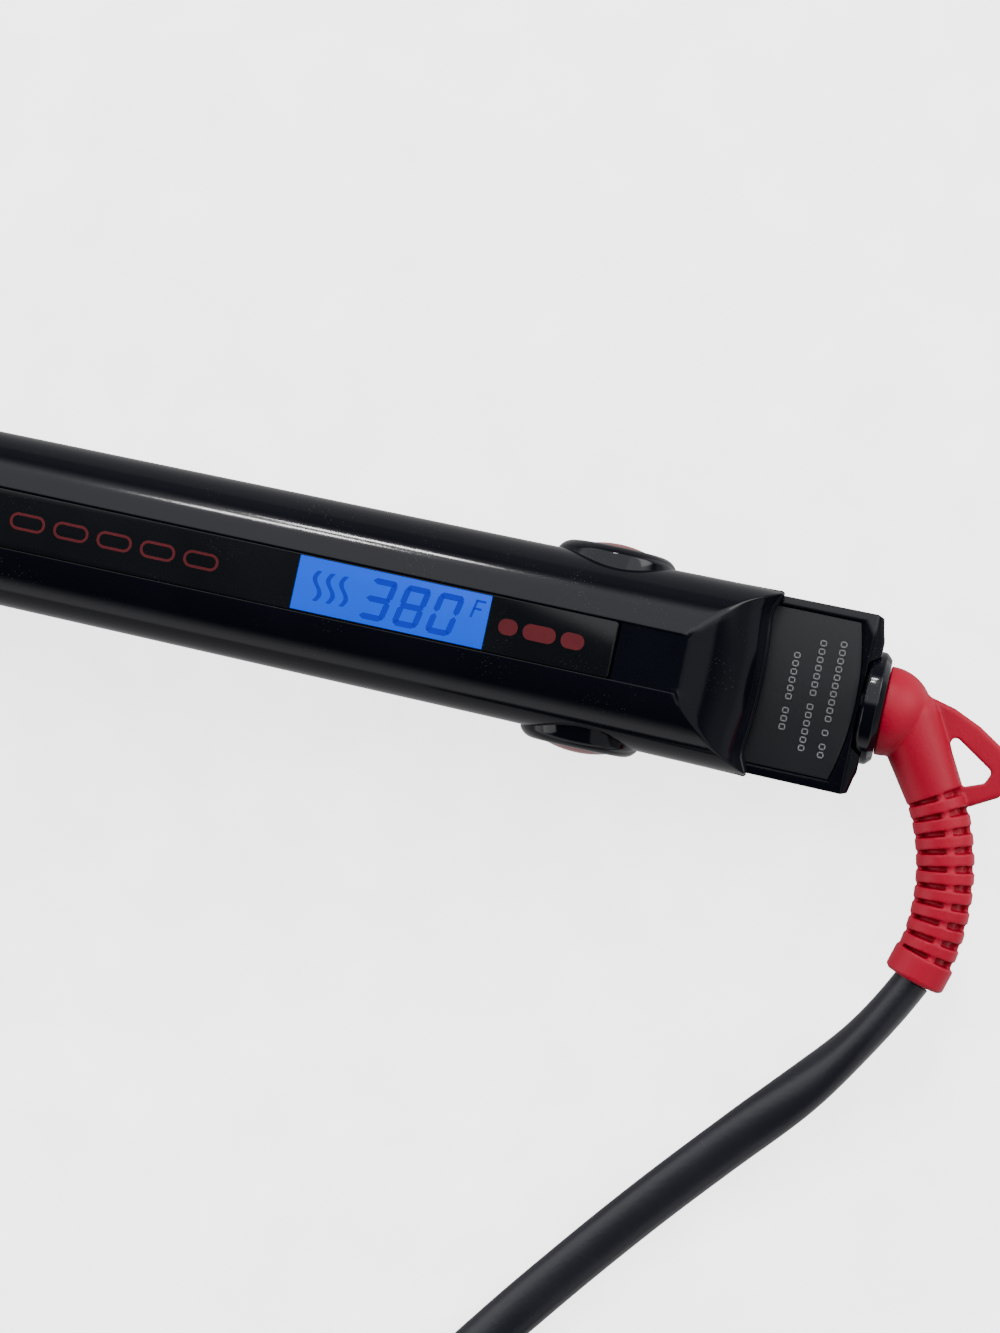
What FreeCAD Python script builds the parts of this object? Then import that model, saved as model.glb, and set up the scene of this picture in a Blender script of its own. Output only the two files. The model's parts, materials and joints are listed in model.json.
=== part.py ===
"""Two-arm hair curling iron: a lower arm with a round heated barrel, a sprung upper arm with a clamp,
a display and three buttons, and a swivelling mains lead. Millimetres, +Z up.

The origin is on the resting face, straight below the hinge axis. +X runs to the cord end and +Y to
the left of it. Every sub-part is drawn about the hinge axis, with both arms closed, and is then placed:
the lower arm is lifted to the hinge's height, and the upper arm is also turned open about the hinge."""

import FreeCAD, Part
import math
import os
import re
import Sketcher
from FreeCAD import Placement, Rotation, Vector

doc = FreeCAD.newDocument("CurlingIron")

# ---------------------------------------------------------------- driving dimensions
SIZES = {
    "hinge_height": (20.0, "hinge axis above the resting face"),
    "open_angle": (9.0, "upper arm's opening at rest, degrees"),
    "arm_depth": (17.6, "upper arm, from the parting plane to its flat top"),
    "lower_depth": (20.0, "lower arm, from the parting plane to its resting face"),
    "parting_gap": (0.2, "each arm's edge from the parting plane"),
    "wall": (2.2, "moulded wall"),
    "flat_half": (5.6, "half the width of the flat on each arm"),
    "shoulder_centre": (4.3, "centre of the rounded shoulders from the middle plane"),
    "handle_front": (150.0, "front of both handles, ahead of the hinge"),
    "half_front": (15.8, "upper arm's half width at the front"),
    "half_hinge": (17.2, "upper arm's half width at the hinge"),
    "half_hood": (18.0, "upper arm's half width at the hood"),
    "lower_half_front": (15.6, "lower arm's half width at the front"),
    "lower_half_hinge": (17.0, "lower arm's half width at the hinge"),
    "lower_half_tail": (17.4, "lower arm's half width at the tail"),
    "width_station": (16.0, "where the widths at the hinge are taken, ahead of it"),
    "hood_end": (31.7, "hood's rear rim, behind the hinge"),
    "tail_end": (53.0, "lower arm's rear end, behind the hinge"),
    "strip_half": (5.45, "half the width of the strip"),
    "strip_front": (148.0, "strip's front end, ahead of the hinge"),
    "strip_rear": (2.7, "strip's rear end, behind the hinge"),
    "strip_top": (17.3, "strip's surface above the parting plane"),
    "strip_floor": (16.0, "strip's underside above the parting plane"),
    "display_front": (58.1, "display's front end, ahead of the hinge"),
    "display_rear": (21.7, "display's rear end, ahead of the hinge"),
    "display_half": (5.1, "half the width of the display"),
    "pin_radius": (2.5, "hinge pin"),
    "running_gap": (0.05, "radial clearance of a running fit"),
    "cap_radius": (11.5, "hinge cap"),
    "cap_face": (19.2, "hinge cap's face from the middle plane"),
    "cap_seat": (14.0, "hinge cap's inner face from the middle plane"),
    "insert_radius": (7.3, "red insert in the cap"),
    "insert_crown": (20.5, "top of the insert's dome from the middle plane"),
    "barrel_radius": (12.5, "heated barrel"),
    "barrel_wall": (1.5, "barrel tube's wall"),
    "barrel_drop": (4.0, "barrel's axis below the parting plane"),
    "barrel_front": (262.0, "barrel tube's front end, ahead of the hinge"),
    "tip_front": (274.0, "front of both cool tips, ahead of the hinge"),
    "clamp_inner": (12.9, "clamp plate's inner radius"),
    "clamp_skin": (14.1, "clamp plate's outer radius"),
    "clamp_outer": (16.6, "clamp cover's outer radius"),
    "button_half_length": (2.6, "half a button's length"),
    "button_half_width": (3.6, "half a button's width"),
    "button_gap": (0.3, "gap round a button"),
    "button_pitch": (8.5, "from button to button"),
    "button_first": (127.0, "rear button, ahead of the hinge"),
    "button_top": (18.1, "button's top above the parting plane"),
    "swivel_drop": (8.6, "swivel axis below the parting plane"),
    "collar_radius": (11.0, "swivel collar"),
    "collar_front": (51.2, "collar's front face, behind the hinge"),
    "collar_rear": (55.2, "collar's rear face, behind the hinge"),
    "spindle_radius": (4.5, "swivel spindle"),
    "relief_radius": (5.6, "strain relief's ribs"),
    "cord_width": (8.0, "mains lead, across"),
    "coil_radius": (44.0, "middle of the coil's turns"),
    "coil_half": (16.0, "half the breadth of the coil's bundle"),
    "coil_height": (16.0, "height of the coil's bundle"),
}

sheet = doc.addObject("Spreadsheet::Sheet", "Sizes")
for row, (alias, (value, note)) in enumerate(SIZES.items(), start=1):
    sheet.set(f"A{row}", note)
    sheet.set(f"B{row}", str(value))
    sheet.setAlias(f"B{row}", alias)
doc.recompute()

ALIASES = re.compile(r"\b(" + "|".join(SIZES) + r")\b")
parts = {}


def size(alias):
    """A driving dimension, as a number."""
    return float(sheet.get(alias))


def bind(obj, prop, expression):
    """Bind a property to an expression in the sheet's aliases."""
    obj.setExpression(prop, ALIASES.sub(r"Sizes.\1", str(expression)))


# ---------------------------------------------------------------- where the bodies stand
def lower_arm():
    """The lower arm's place: the hinge axis at its height."""
    return Placement(Vector(0, 0, size("hinge_height")), Rotation())


def upper_arm():
    """The upper arm's place: turned open about the hinge."""
    return Placement(Vector(0, 0, size("hinge_height")), Rotation(Vector(0, 1, 0), size("open_angle")))


def keep(name, obj, arm, local=None):
    """Name a finished sub-part and place it on its arm."""
    obj.Label = name
    obj.Placement = arm().multiply(local or obj.Placement)
    parts[name] = obj
    return obj


# ---------------------------------------------------------------- primitives and booleans
TURN = {
    "x": Rotation(Vector(0, 1, 0), 90),
    "y": Rotation(Vector(1, 0, 0), -90),
    "z": Rotation(),
}


def box(name, x, y, z):
    """A block between three pairs of expressions."""
    block = doc.addObject("Part::Box", name)
    for axis, side, (low, high) in zip("xyz", ("Length", "Width", "Height"), (x, y, z)):
        bind(block, side, f"({high}) - ({low})")
        bind(block, f"Placement.Base.{axis}", low)
    return block


def rod(name, axis, radius, span, across=(0, 0)):
    """A cylinder along an axis, over a span of it, at a place across it in x, y, z order."""
    cylinder = doc.addObject("Part::Cylinder", name)
    bind(cylinder, "Radius", radius)
    bind(cylinder, "Height", f"({span[1]}) - ({span[0]})")
    cylinder.Placement = Placement(Vector(), TURN[axis])
    places = list(across)
    places.insert("xyz".index(axis), span[0])
    for letter, place in zip("xyz", places):
        bind(cylinder, f"Placement.Base.{letter}", place)
    return cylinder


def fuse(name, *shapes):
    joined = doc.addObject("Part::MultiFuse", name)
    joined.Shapes = list(shapes)
    return joined


def cut(name, base, *tools):
    result = doc.addObject("Part::Cut", name)
    result.Base = base
    result.Tool = tools[0] if len(tools) == 1 else fuse(f"{name}_tools", *tools)
    return result


def common(name, base, tool):
    result = doc.addObject("Part::Common", name)
    result.Base = base
    result.Tool = tool
    return result


def group(name, *shapes):
    """Separate solids of one kind, kept together."""
    compound = doc.addObject("Part::Compound", name)
    compound.Links = list(shapes)
    return compound


def extrusion(name, wire_points, plane, span, curves=()):
    """A closed outline, drawn in a plane and pushed out over a span of the third axis.

    A point listed in curves is the middle of an arc between its two neighbours."""
    sketch = doc.addObject("Sketcher::SketchObject", f"{name}_outline")
    turn = {"xy": Rotation(), "xz": Rotation(Vector(1, 0, 0), 90)}[plane]
    flat = [Vector(a, b, 0) for a, b in wire_points]
    count = len(flat)
    for i, point in enumerate(flat):
        if i in curves:
            sketch.addGeometry(Part.Arc(flat[i - 1], point, flat[(i + 1) % count]))
        elif (i + 1) % count not in curves:
            sketch.addGeometry(Part.LineSegment(point, flat[(i + 1) % count]))
    base = Vector(0, 0, span[0]) if plane == "xy" else Vector(0, span[1], 0)
    sketch.Placement = Placement(base, turn)
    solid = doc.addObject("Part::Extrusion", name)
    solid.Base = sketch
    solid.DirMode = "Normal"
    solid.LengthFwd = span[1] - span[0]
    solid.Solid = True
    return solid


# ---------------------------------------------------------------- PartDesign bodies
def body_sketch(body, name, role, offset=("0", "0", "0")):
    """A sketch on one of the body's own origin planes, moved by three expressions."""
    sketch = body.newObject("Sketcher::SketchObject", name)
    plane = next(f for f in body.Origin.OriginFeatures if f.Role == role)
    sketch.AttachmentSupport = [(plane, "")]
    sketch.MapMode = "FlatFace"
    for axis, value in zip("xyz", offset):
        bind(sketch, f"AttachmentOffset.Base.{axis}", value)
    return sketch


def plate(name, x, y, z, rounding=None, pick=None):
    """A PartDesign block: a dimensioned rectangle on the XY plane, padded, with rounded edges."""
    body = doc.addObject("PartDesign::Body", name)
    sketch = body_sketch(body, f"{name}_sketch", "XY_Plane", (x[0], y[0], z[0]))
    length = size_of(f"({x[1]}) - ({x[0]})")
    width = size_of(f"({y[1]}) - ({y[0]})")
    corners = [Vector(0, 0, 0), Vector(length, 0, 0), Vector(length, width, 0), Vector(0, width, 0)]
    for i in range(4):
        sketch.addGeometry(Part.LineSegment(corners[i], corners[(i + 1) % 4]))
    for i in range(4):
        sketch.addConstraint(Sketcher.Constraint("Coincident", i, 2, (i + 1) % 4, 1))
    for i, kind in enumerate(("Horizontal", "Vertical", "Horizontal", "Vertical")):
        sketch.addConstraint(Sketcher.Constraint(kind, i))
    sketch.addConstraint(Sketcher.Constraint("Coincident", 0, 1, -1, 1))
    for line, kind, side, (low, high) in ((0, "DistanceX", length, x), (1, "DistanceY", width, y)):
        number = sketch.addConstraint(Sketcher.Constraint(kind, line, 1, line, 2, side))
        sketch.renameConstraint(number, kind)
        bind(sketch, f"Constraints.{kind}", f"({high}) - ({low})")
    pad = body.newObject("PartDesign::Pad", f"{name}_pad")
    pad.Profile = sketch
    bind(pad, "Length", f"({z[1]}) - ({z[0]})")
    if rounding:
        doc.recompute()
        edges = [f"Edge{i}" for i, e in enumerate(pad.Shape.Edges, start=1) if pick(e)]
        fillet = body.newObject("PartDesign::Fillet", f"{name}_fillet")
        fillet.Base = (pad, edges)
        fillet.Radius = rounding
    return body


def turned(name, outline, curves=()):
    """A PartDesign revolution about Z: an outline of (radius, height) points in the XZ plane.

    A point listed in curves is the middle of an arc between its two neighbours."""
    body = doc.addObject("PartDesign::Body", name)
    sketch = body_sketch(body, f"{name}_sketch", "XZ_Plane")
    flat = [Vector(r, h, 0) for r, h in outline]
    count = len(flat)
    for i, point in enumerate(flat):
        if i in curves:
            sketch.addGeometry(Part.Arc(flat[i - 1], point, flat[(i + 1) % count]))
        elif (i + 1) % count not in curves:
            sketch.addGeometry(Part.LineSegment(point, flat[(i + 1) % count]))
    revolution = body.newObject("PartDesign::Revolution", f"{name}_revolution")
    revolution.Profile = sketch
    revolution.ReferenceAxis = (sketch, ["V_Axis"])
    revolution.Angle = 360
    return body


def size_of(expression):
    """The number that an expression in the sheet's aliases gives."""
    return float(sheet.evalExpression(ALIASES.sub(r"Sizes.\1", expression)))


def upright(edge):
    """Whether an edge runs along Z."""
    ends = edge.Vertexes
    return len(ends) == 2 and abs(ends[0].Z - ends[1].Z) > 0.5 * edge.Length


def at_height(height):
    """A picker of the edges that lie flat at one height."""
    return lambda edge: all(abs(v.Z - height) < 1e-4 for v in edge.Vertexes)


ALONG_X = Rotation(Vector(0, 1, 0), 90)


# ---------------------------------------------------------------- arm housings
def arm_section(name, station, half_width, side, inset, edge):
    """A cross-section of an arm at a station: side 1 is the upper arm and -1 the lower one.

    A flat, two shoulders that are arcs of a circle, and upright sides down to the parting edge."""
    depth = size("arm_depth") if side > 0 else size("lower_depth")
    centre = size("shoulder_centre")
    radius = half_width - centre
    level = depth - math.sqrt(radius**2 - (size("flat_half") - centre) ** 2)
    radius -= inset
    top = depth - inset
    flat = centre + math.sqrt(radius**2 - (top - level) ** 2)
    half = half_width - inset
    lean = math.radians(45)
    bend = Vector(centre + radius * math.cos(lean), side * (level + radius * math.sin(lean)), 0)
    right = [Vector(half, side * edge, 0), Vector(half, side * level, 0), Vector(flat, side * top, 0)]
    left = [Vector(-p.x, p.y, 0) for p in right]
    sketch = doc.addObject("Sketcher::SketchObject", name)
    sketch.addGeometry(Part.LineSegment(right[0], right[1]))
    sketch.addGeometry(Part.Arc(right[1], bend, right[2]))
    sketch.addGeometry(Part.LineSegment(right[2], left[2]))
    sketch.addGeometry(Part.Arc(left[2], Vector(-bend.x, bend.y, 0), left[1]))
    sketch.addGeometry(Part.LineSegment(left[1], left[0]))
    sketch.addGeometry(Part.LineSegment(left[0], right[0]))
    sketch.Placement = Placement(Vector(), Rotation(90, 0, 90))
    bind(sketch, "Placement.Base.x", station)
    return sketch


def arm_loft(name, stations, side, inset=0.0, edge=None):
    """A solid through cross-sections, each a station's expression and its half width."""
    lip = size("parting_gap") if edge is None else edge
    sections = [
        arm_section(f"{name}_{i}", station, half, side, inset, lip)
        for i, (station, half) in enumerate(stations)
    ]
    loft = doc.addObject("Part::Loft", name)
    loft.Sections = sections
    loft.Solid = True
    loft.Ruled = True
    return loft


def half_at(x, arm="upper"):
    """An arm's half width at a place along it."""
    names = {
        "upper": ("half_front", "half_hinge", "half_hood", "hood_end"),
        "lower": ("lower_half_front", "lower_half_hinge", "lower_half_tail", "tail_end"),
    }
    front, middle, rear, end = (size(name) for name in names[arm])
    station = -size("width_station")
    if x < station:
        return middle + (x - station) * (middle - front) / (size("handle_front") + station)
    return middle + (x - station) * (rear - middle) / (end - station)


def button_holes(prefix):
    """Openings for the three buttons, with a gap round each."""
    return [
        box(
            f"{prefix}_hole_{i}",
            (f"-button_first - {i} * button_pitch - button_half_length - button_gap",
             f"-button_first - {i} * button_pitch + button_half_length + button_gap"),
            ("-button_half_width - button_gap", "button_half_width + button_gap"),
            ("12.5", "30"),
        )
        for i in range(3)
    ]


def hinge_windows(prefix):
    """Round openings in both side walls, which the hinge caps stand in."""
    return [
        rod(f"{prefix}_window_{tag}", "y", "cap_radius + 0.3", span)
        for tag, span in (("left", ("cap_seat - 0.6", "30")), ("right", ("-30", "0.6 - cap_seat")))
    ]


def knuckles(prefix, inner, outer, radius, post):
    """A pair of hinge knuckles on posts that reach the housing."""
    pieces = []
    for tag, span in (("left", (inner, outer)), ("right", (f"-({outer})", f"-({inner})"))):
        pieces.append(rod(f"{prefix}_knuckle_{tag}", "y", radius, span))
        pieces.append(box(f"{prefix}_post_{tag}", ("-5", "5"), span, post))
    return pieces


def upper_housing():
    """The upper arm's shell: rounded back, hood over the hinge, recess for the strip, button holes."""
    stations = [(f"{x}", half_at(x)) for x in (-size("handle_front"), -size("width_station"), 36)]
    cavity = [(f"{x}", half_at(x)) for x in (-size("handle_front") + 3, -size("width_station"), 38)]
    shell = cut(
        "upper_shell",
        arm_loft("upper_outer", stations, 1),
        arm_loft("upper_cavity", cavity, 1, inset=size("wall"), edge=-3.0),
    )
    slope = extrusion(
        "hood_slope",
        [(14.8, size("arm_depth")), (24.2, 13.9), (size("hood_end") + 0.6, 6.0), (46, 6.0), (46, 30),
         (14.8, 30)],
        "xz",
        (-30, 30),
        curves=(1,),
    )
    rim = extrusion(
        "hood_rim",
        [(30.8, -13.6), (size("hood_end"), 0), (30.8, 13.6), (32.3, 18.2), (32.3, 30), (60, 30), (60, -30),
         (32.3, -30), (32.3, -18.2)],
        "xy",
        (-10, 30),
        curves=(1,),
    )
    gap = size("parting_gap")
    rise = 60 * math.tan(math.radians(size("open_angle") + 0.8))
    relief = extrusion("hood_relief", [(0, gap), (60, gap + rise), (60, -10), (0, -10)], "xz", (-30, 30))
    recess = box(
        "strip_recess", ("-strip_front", "strip_rear"), ("-strip_half", "strip_half"), ("strip_floor", "30")
    )
    openings = [*button_holes("shell"), *hinge_windows("upper")]
    trimmed = cut("upper_trimmed", shell, slope, rim, relief, recess, *openings)
    places = upper_screw_places()
    bosses = [rod(f"upper_boss_{i}", "z", "3.0", ("2.5", "10.2"), place) for i, place in enumerate(places)]
    ears = knuckles("upper", "7.6", "11.0", "8", ("0", "arm_depth - wall + 0.4"))
    bore = rod("upper_bore", "y", "pin_radius + running_gap", ("-20", "20"))
    taps = [rod(f"upper_tap_{i}", "z", "1.0", ("2", "9"), place) for i, place in enumerate(places)]
    whole = fuse("upper_whole", trimmed, *ears, *bosses)
    return keep("upper_housing", cut("upper_housing", whole, bore, *taps), upper_arm)


def upper_screw_places():
    """Screws under the upper arm: two pairs, beside the circuit board."""
    return [(x, y) for x in ("-138", "-44") for y in ("-10.9", "10.9")]


def lower_stations(*places):
    """Places along the lower arm with their half widths."""
    return [(f"{x}", half_at(x, "lower")) for x in places]


def label_outline():
    """Outline of the plate on the tail: straight sides and a rounded rear edge."""
    return [(22, -15.4), (48.1, -15.4), (50.2, 0), (48.1, 15.4), (22, 15.4)]


def lower_housing():
    """The lower arm's shell: rounded belly with a flat to rest on, closed tail, swivel seat, knuckles."""
    front = -size("handle_front")
    middle = -size("width_station")
    deck = 14
    outer = arm_loft("lower_outer", lower_stations(front, middle, size("tail_end")), -1)
    wall = size("wall")
    trough = arm_loft("lower_trough", lower_stations(front + 3, middle, deck), -1, inset=wall, edge=-3.0)
    room = arm_loft("lower_tail_room", lower_stations(deck - 0.1, 46), -1, inset=wall + 0.4, edge=2.0)
    axis = ("0", "-swivel_drop")
    nest = rod("collar_nest", "x", "collar_radius + 0.6", ("collar_front - 0.4", "70"), axis)
    bore = rod("bush_bore", "x", "spindle_radius + 1.5", ("40", "60"), axis)
    corners = [
        extrusion(
            f"tail_corner_{tag}",
            [(50.6, s * 17.5), (52.0, s * 16.9), (53.0, s * 12.0), (60, s * 12.0), (60, s * 20),
             (50.6, s * 20)],
            "xy",
            (-30, 5),
        )
        for tag, s in (("left", 1), ("right", -1))
    ]
    slope = extrusion(
        "tail_slope", [(50.7, -0.2), (53.4, -2.6), (60, -2.6), (60, 5), (50.7, 5)], "xz", (-30, 30)
    )
    pocket = extrusion("label_pocket", label_outline(), "xy", (-1.3, 5), curves=(2,))
    places = lower_screws()
    heads = [rod(f"lower_sink_{i}", "z", "2.2", ("-21", "-18.5"), place) for i, place in enumerate(places)]
    shanks = [rod(f"lower_way_{i}", "z", "1.4", ("-20", "-15"), place) for i, place in enumerate(places)]
    trimmed = cut(
        "lower_trimmed", outer, trough, room, nest, bore, pocket, slope, *corners, *heads, *shanks,
        *hinge_windows("lower")
    )
    ears = knuckles("lower", "11.4", "cap_seat - 0.1", "8", ("-15.4", "0"))
    seat = rod("spring_post", "z", "3.4", ("-18.4", "-9"), ("-24", "0"))
    pin_bore = rod("lower_pin_bore", "y", "pin_radius", ("-20", "20"))
    return keep(
        "lower_housing", cut("lower_housing", fuse("lower_whole", trimmed, *ears, seat), pin_bore), lower_arm
    )


def lower_screws():
    """Screws under the lower arm, in a row."""
    return [("-132", "0"), ("-78", "0"), ("-40", "0")]


def screw(name, place, head_z, tip_z):
    """A pan-head screw from below: a head with a cross recess, and a plain shank."""
    head = rod(f"{name}_head", "z", "1.9", (head_z, f"{head_z} + 1.3"), place)
    shank = rod(f"{name}_shank", "z", "1.0", (f"{head_z} + 1", tip_z), place)
    slots = [
        box(
            f"{name}_slot_{tag}",
            (f"{place[0]} - {a}", f"{place[0]} + {a}"),
            (f"{place[1]} - {b}", f"{place[1]} + {b}"),
            (f"{head_z} - 1", f"{head_z} + 0.6"),
        )
        for tag, a, b in (("long", 1.4, 0.25), ("cross", 0.25, 1.4))
    ]
    return cut(name, fuse(f"{name}_blank", head, shank), *slots)


# ---------------------------------------------------------------- covers, strip, display, board
def covers():
    """Flat inner covers that close the two handles."""
    lower_places = lower_screws()
    way = rod("spring_way", "z", "4.6", ("-10", "5"), ("-24", "0"))
    lower = plate("lower_cover_plate", ("-146.8", "-13"), ("-13.2", "13.2"), ("-2.4", "-0.5"), 1.5, upright)
    stubs = [rod(f"lower_stub_{i}", "z", "3", ("-17.4", "-2"), place) for i, place in enumerate(lower_places)]
    taps = [rod(f"lower_tap_{i}", "z", "1.0", ("-18", "-5"), place) for i, place in enumerate(lower_places)]
    lower_whole = fuse("lower_cover_whole", lower, *stubs)
    keep("lower_inner_cover", cut("lower_inner_cover", lower_whole, way, *taps), lower_arm)
    lower_set = [screw(f"lower_screw_{i}", place, "-19.9", "-8") for i, place in enumerate(lower_places)]
    keep("lower_screws", group("lower_screws", *lower_set), lower_arm)
    upper_places = upper_screw_places()
    upper = plate("upper_cover_plate", ("-146.8", "-13"), ("-13.2", "13.2"), ("0.5", "2.4"), 1.5, upright)
    sinks = [rod(f"upper_sink_{i}", "z", "2.0", ("0", "1.7"), place) for i, place in enumerate(upper_places)]
    ways = [rod(f"upper_way_{i}", "z", "1.1", ("0", "3"), place) for i, place in enumerate(upper_places)]
    keep("upper_inner_cover", cut("upper_inner_cover", upper, *sinks, *ways), upper_arm)
    upper_set = [screw(f"upper_screw_{i}", place, "0.4", "8") for i, place in enumerate(upper_places)]
    keep("upper_screws", group("upper_screws", *upper_set), upper_arm)


def strip_and_display():
    """The recessed strip along the upper arm, with a seat for the display and three button holes."""
    blank = plate(
        "strip_blank",
        ("-strip_front", "strip_rear"),
        ("-strip_half", "strip_half"),
        ("strip_floor", "strip_top"),
    )
    seat = box(
        "display_seat",
        ("-display_front", "-display_rear"),
        ("-display_half", "display_half"),
        ("strip_top - 0.9", "20"),
    )
    keep("display_strip", cut("display_strip", blank, seat, *button_holes("strip")), upper_arm)
    panel = plate(
        "lcd_panel",
        ("-display_front", "-display_rear"),
        ("-display_half", "display_half"),
        ("strip_top - 0.9", "strip_top - 0.1"),
    )
    keep("lcd_panel", panel, upper_arm)


def circuit_board():
    """The control board under the strip, with its chip and relay, and a switch under each button."""
    board = plate("board_blank", ("-146", "-16"), ("-7.8", "7.8"), ("8.4", "10"), 1.0, upright)
    chips = [
        box("controller_chip", ("-92", "-80"), ("-5", "5"), ("10", "11.6")),
        box("power_relay", ("-38", "-22"), ("-5", "5"), ("4", "8.4")),
        box("capacitor", ("-66", "-56"), ("-4", "4"), ("4", "8.4")),
    ]
    keep("control_board", fuse("control_board", board, *chips), upper_arm)
    switches = [
        fuse(
            f"switch_{i}",
            box(
                f"switch_base_{i}",
                (f"-button_first - {i} * button_pitch - 2.4", f"-button_first - {i} * button_pitch + 2.4"),
                ("-2.4", "2.4"),
                ("10", "11.4"),
            ),
            rod(
                f"switch_dome_{i}",
                "z",
                "1.2",
                ("11.3", "11.9"),
                (f"-button_first - {i} * button_pitch", "0"),
            ),
        )
        for i in range(3)
    ]
    keep("button_switches", group("button_switches", *switches), upper_arm)


def buttons():
    """Three push buttons in the strip: power, plus and minus, each with a stem to its switch."""
    for i, name in enumerate(("minus_button", "plus_button", "power_button")):
        middle = f"-button_first - {i} * button_pitch"
        cap = plate(
            f"{name}_cap",
            (f"{middle} - button_half_length", f"{middle} + button_half_length"),
            ("-button_half_width", "button_half_width"),
            ("14.2", "button_top"),
            0.5,
            at_height(size("button_top")),
        )
        stem = rod(f"{name}_stem", "z", "1.5", ("12.7", "15"), (middle, "0"))
        keep(name, fuse(name, cap, stem), upper_arm)


# ---------------------------------------------------------------- hinge
def hinge():
    """Hinge pin, the two round caps that stand in the side walls, and their domed inserts."""
    pin = turned("hinge_pin", [(0, -14), (2.1, -14), (2.5, -13.6), (2.5, 13.6), (2.1, 14), (0, 14)])
    keep("hinge_pin", pin, lower_arm, Placement(Vector(0, 0, 0), TURN["y"]))
    for side, turn in (("left", Rotation(Vector(1, 0, 0), -90)), ("right", Rotation(Vector(1, 0, 0), 90))):
        face = size("cap_face")
        radius = size("cap_radius")
        well = size("insert_radius")
        floor = face - 1.4
        seat = size("cap_seat")
        cap = turned(
            f"hinge_cap_{side}",
            [(0, seat), (radius, seat), (radius, face - 1.5), (radius - 0.8, face - 0.5), (well, face),
             (well, floor), (0, floor)],
            curves=(3,),
        )
        keep(f"hinge_cap_{side}", cap, lower_arm, Placement(Vector(), turn))
        crown = size("insert_crown")
        rise = crown - face - 0.1
        ball = (well**2 + rise**2) / (2 * rise)
        middle = (well / 2, crown - ball + math.sqrt(ball**2 - (well / 2) ** 2))
        insert = turned(
            f"hinge_insert_{side}",
            [(0, floor), (well, floor), (well, face + 0.1), middle, (0, crown)],
            curves=(3,),
        )
        keep(f"hinge_insert_{side}", insert, lower_arm, Placement(Vector(), turn))


def arm_spring():
    """Compression spring ahead of the hinge that holds the arms open."""
    wire_radius = 0.5
    coil_radius = 2.7
    height = 11.5
    turns = 6
    helix = Part.makeHelix(height / turns, height, coil_radius)
    ring = Part.Wire(Part.makeCircle(wire_radius, Vector(coil_radius, 0, 0), Vector(0, 1, 0)))
    coil = Part.Wire(helix).makePipeShell([ring], True, True)
    spring = doc.addObject("Part::Feature", "arm_spring")
    spring.Shape = coil
    keep("arm_spring", spring, lower_arm, Placement(Vector(-24, 0, -8.45), Rotation()))


# ---------------------------------------------------------------- barrel and clamp
def along_barrel(body, name, arm, start):
    """Place a turned piece with its Z along -X, from a distance ahead of the hinge."""
    place = Placement(Vector(-start, 0, -size("barrel_drop")), Rotation(Vector(0, 1, 0), -90))
    return keep(name, body, arm, place)


def barrel():
    """Round heated barrel, its collar, heater, sensor and cool tip."""
    radius = size("barrel_radius")
    inner = radius - size("barrel_wall")
    front = size("handle_front")
    length = size("barrel_front") - front
    tube = turned("barrel_tube", [(inner, 0), (radius, 0), (radius, length), (inner, length)])
    along_barrel(tube, "barrel_tube", lower_arm, front)
    collar = turned(
        "barrel_collar", [(radius, 0), (13.7, 0), (13.7, 3.0), (13.1, 4.5), (radius, 4.5)]
    )
    along_barrel(collar, "barrel_collar", lower_arm, front)
    nose = size("tip_front") - size("barrel_front")
    plug_radius = inner - size("running_gap")
    tip = turned(
        "barrel_tip",
        [(0, -8), (plug_radius, -8), (plug_radius, 0), (radius, 0), (radius, 6), (10.3, nose - 1.9),
         (5.5, nose), (0, nose)],
        curves=(5,),
    )
    along_barrel(tip, "barrel_tip", lower_arm, size("barrel_front"))
    level = ("-barrel_drop - 1.1", "-barrel_drop + 1.1")
    heater = plate("barrel_heater", ("-250", "-156"), ("-6", "6"), level)
    keep("barrel_heater", heater, lower_arm)
    sensor = rod("sensor_bead", "x", "1.2", ("-206", "-198"), ("0", "-barrel_drop + 2.3"))
    keep("barrel_sensor", group("barrel_sensor", sensor), lower_arm)


def sector(name, inner, outer, span, half_angle):
    """Part of a tube round the closed barrel's axis, over its top."""
    tube = cut(
        f"{name}_ring",
        rod(f"{name}_outside", "x", outer, span, ("0", "-barrel_drop")),
        rod(f"{name}_inside", "x", inner, (f"{span[0]} - 1", f"{span[1]} + 1"), ("0", "-barrel_drop")),
    )
    reach = 40
    lean = math.radians(half_angle)
    wedge = extrusion_yz(
        f"{name}_wedge",
        [(0, 0), (reach * math.sin(lean), reach * math.cos(lean)), (reach * math.sin(lean), reach),
         (-reach * math.sin(lean), reach), (-reach * math.sin(lean), reach * math.cos(lean))],
        (size_of(span[0]), size_of(span[1])),
    )
    return common(name, tube, wedge)


def extrusion_yz(name, outline, span):
    """An outline across the barrel, pushed out along X."""
    sketch = doc.addObject("Sketcher::SketchObject", f"{name}_outline")
    flat = [Vector(y, z - size("barrel_drop"), 0) for y, z in outline]
    for i, point in enumerate(flat):
        sketch.addGeometry(Part.LineSegment(point, flat[(i + 1) % len(flat)]))
    sketch.Placement = Placement(Vector(span[0], 0, 0), Rotation(90, 0, 90))
    solid = doc.addObject("Part::Extrusion", name)
    solid.Base = sketch
    solid.DirMode = "Normal"
    solid.LengthFwd = span[1] - span[0]
    solid.Solid = True
    return solid


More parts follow.
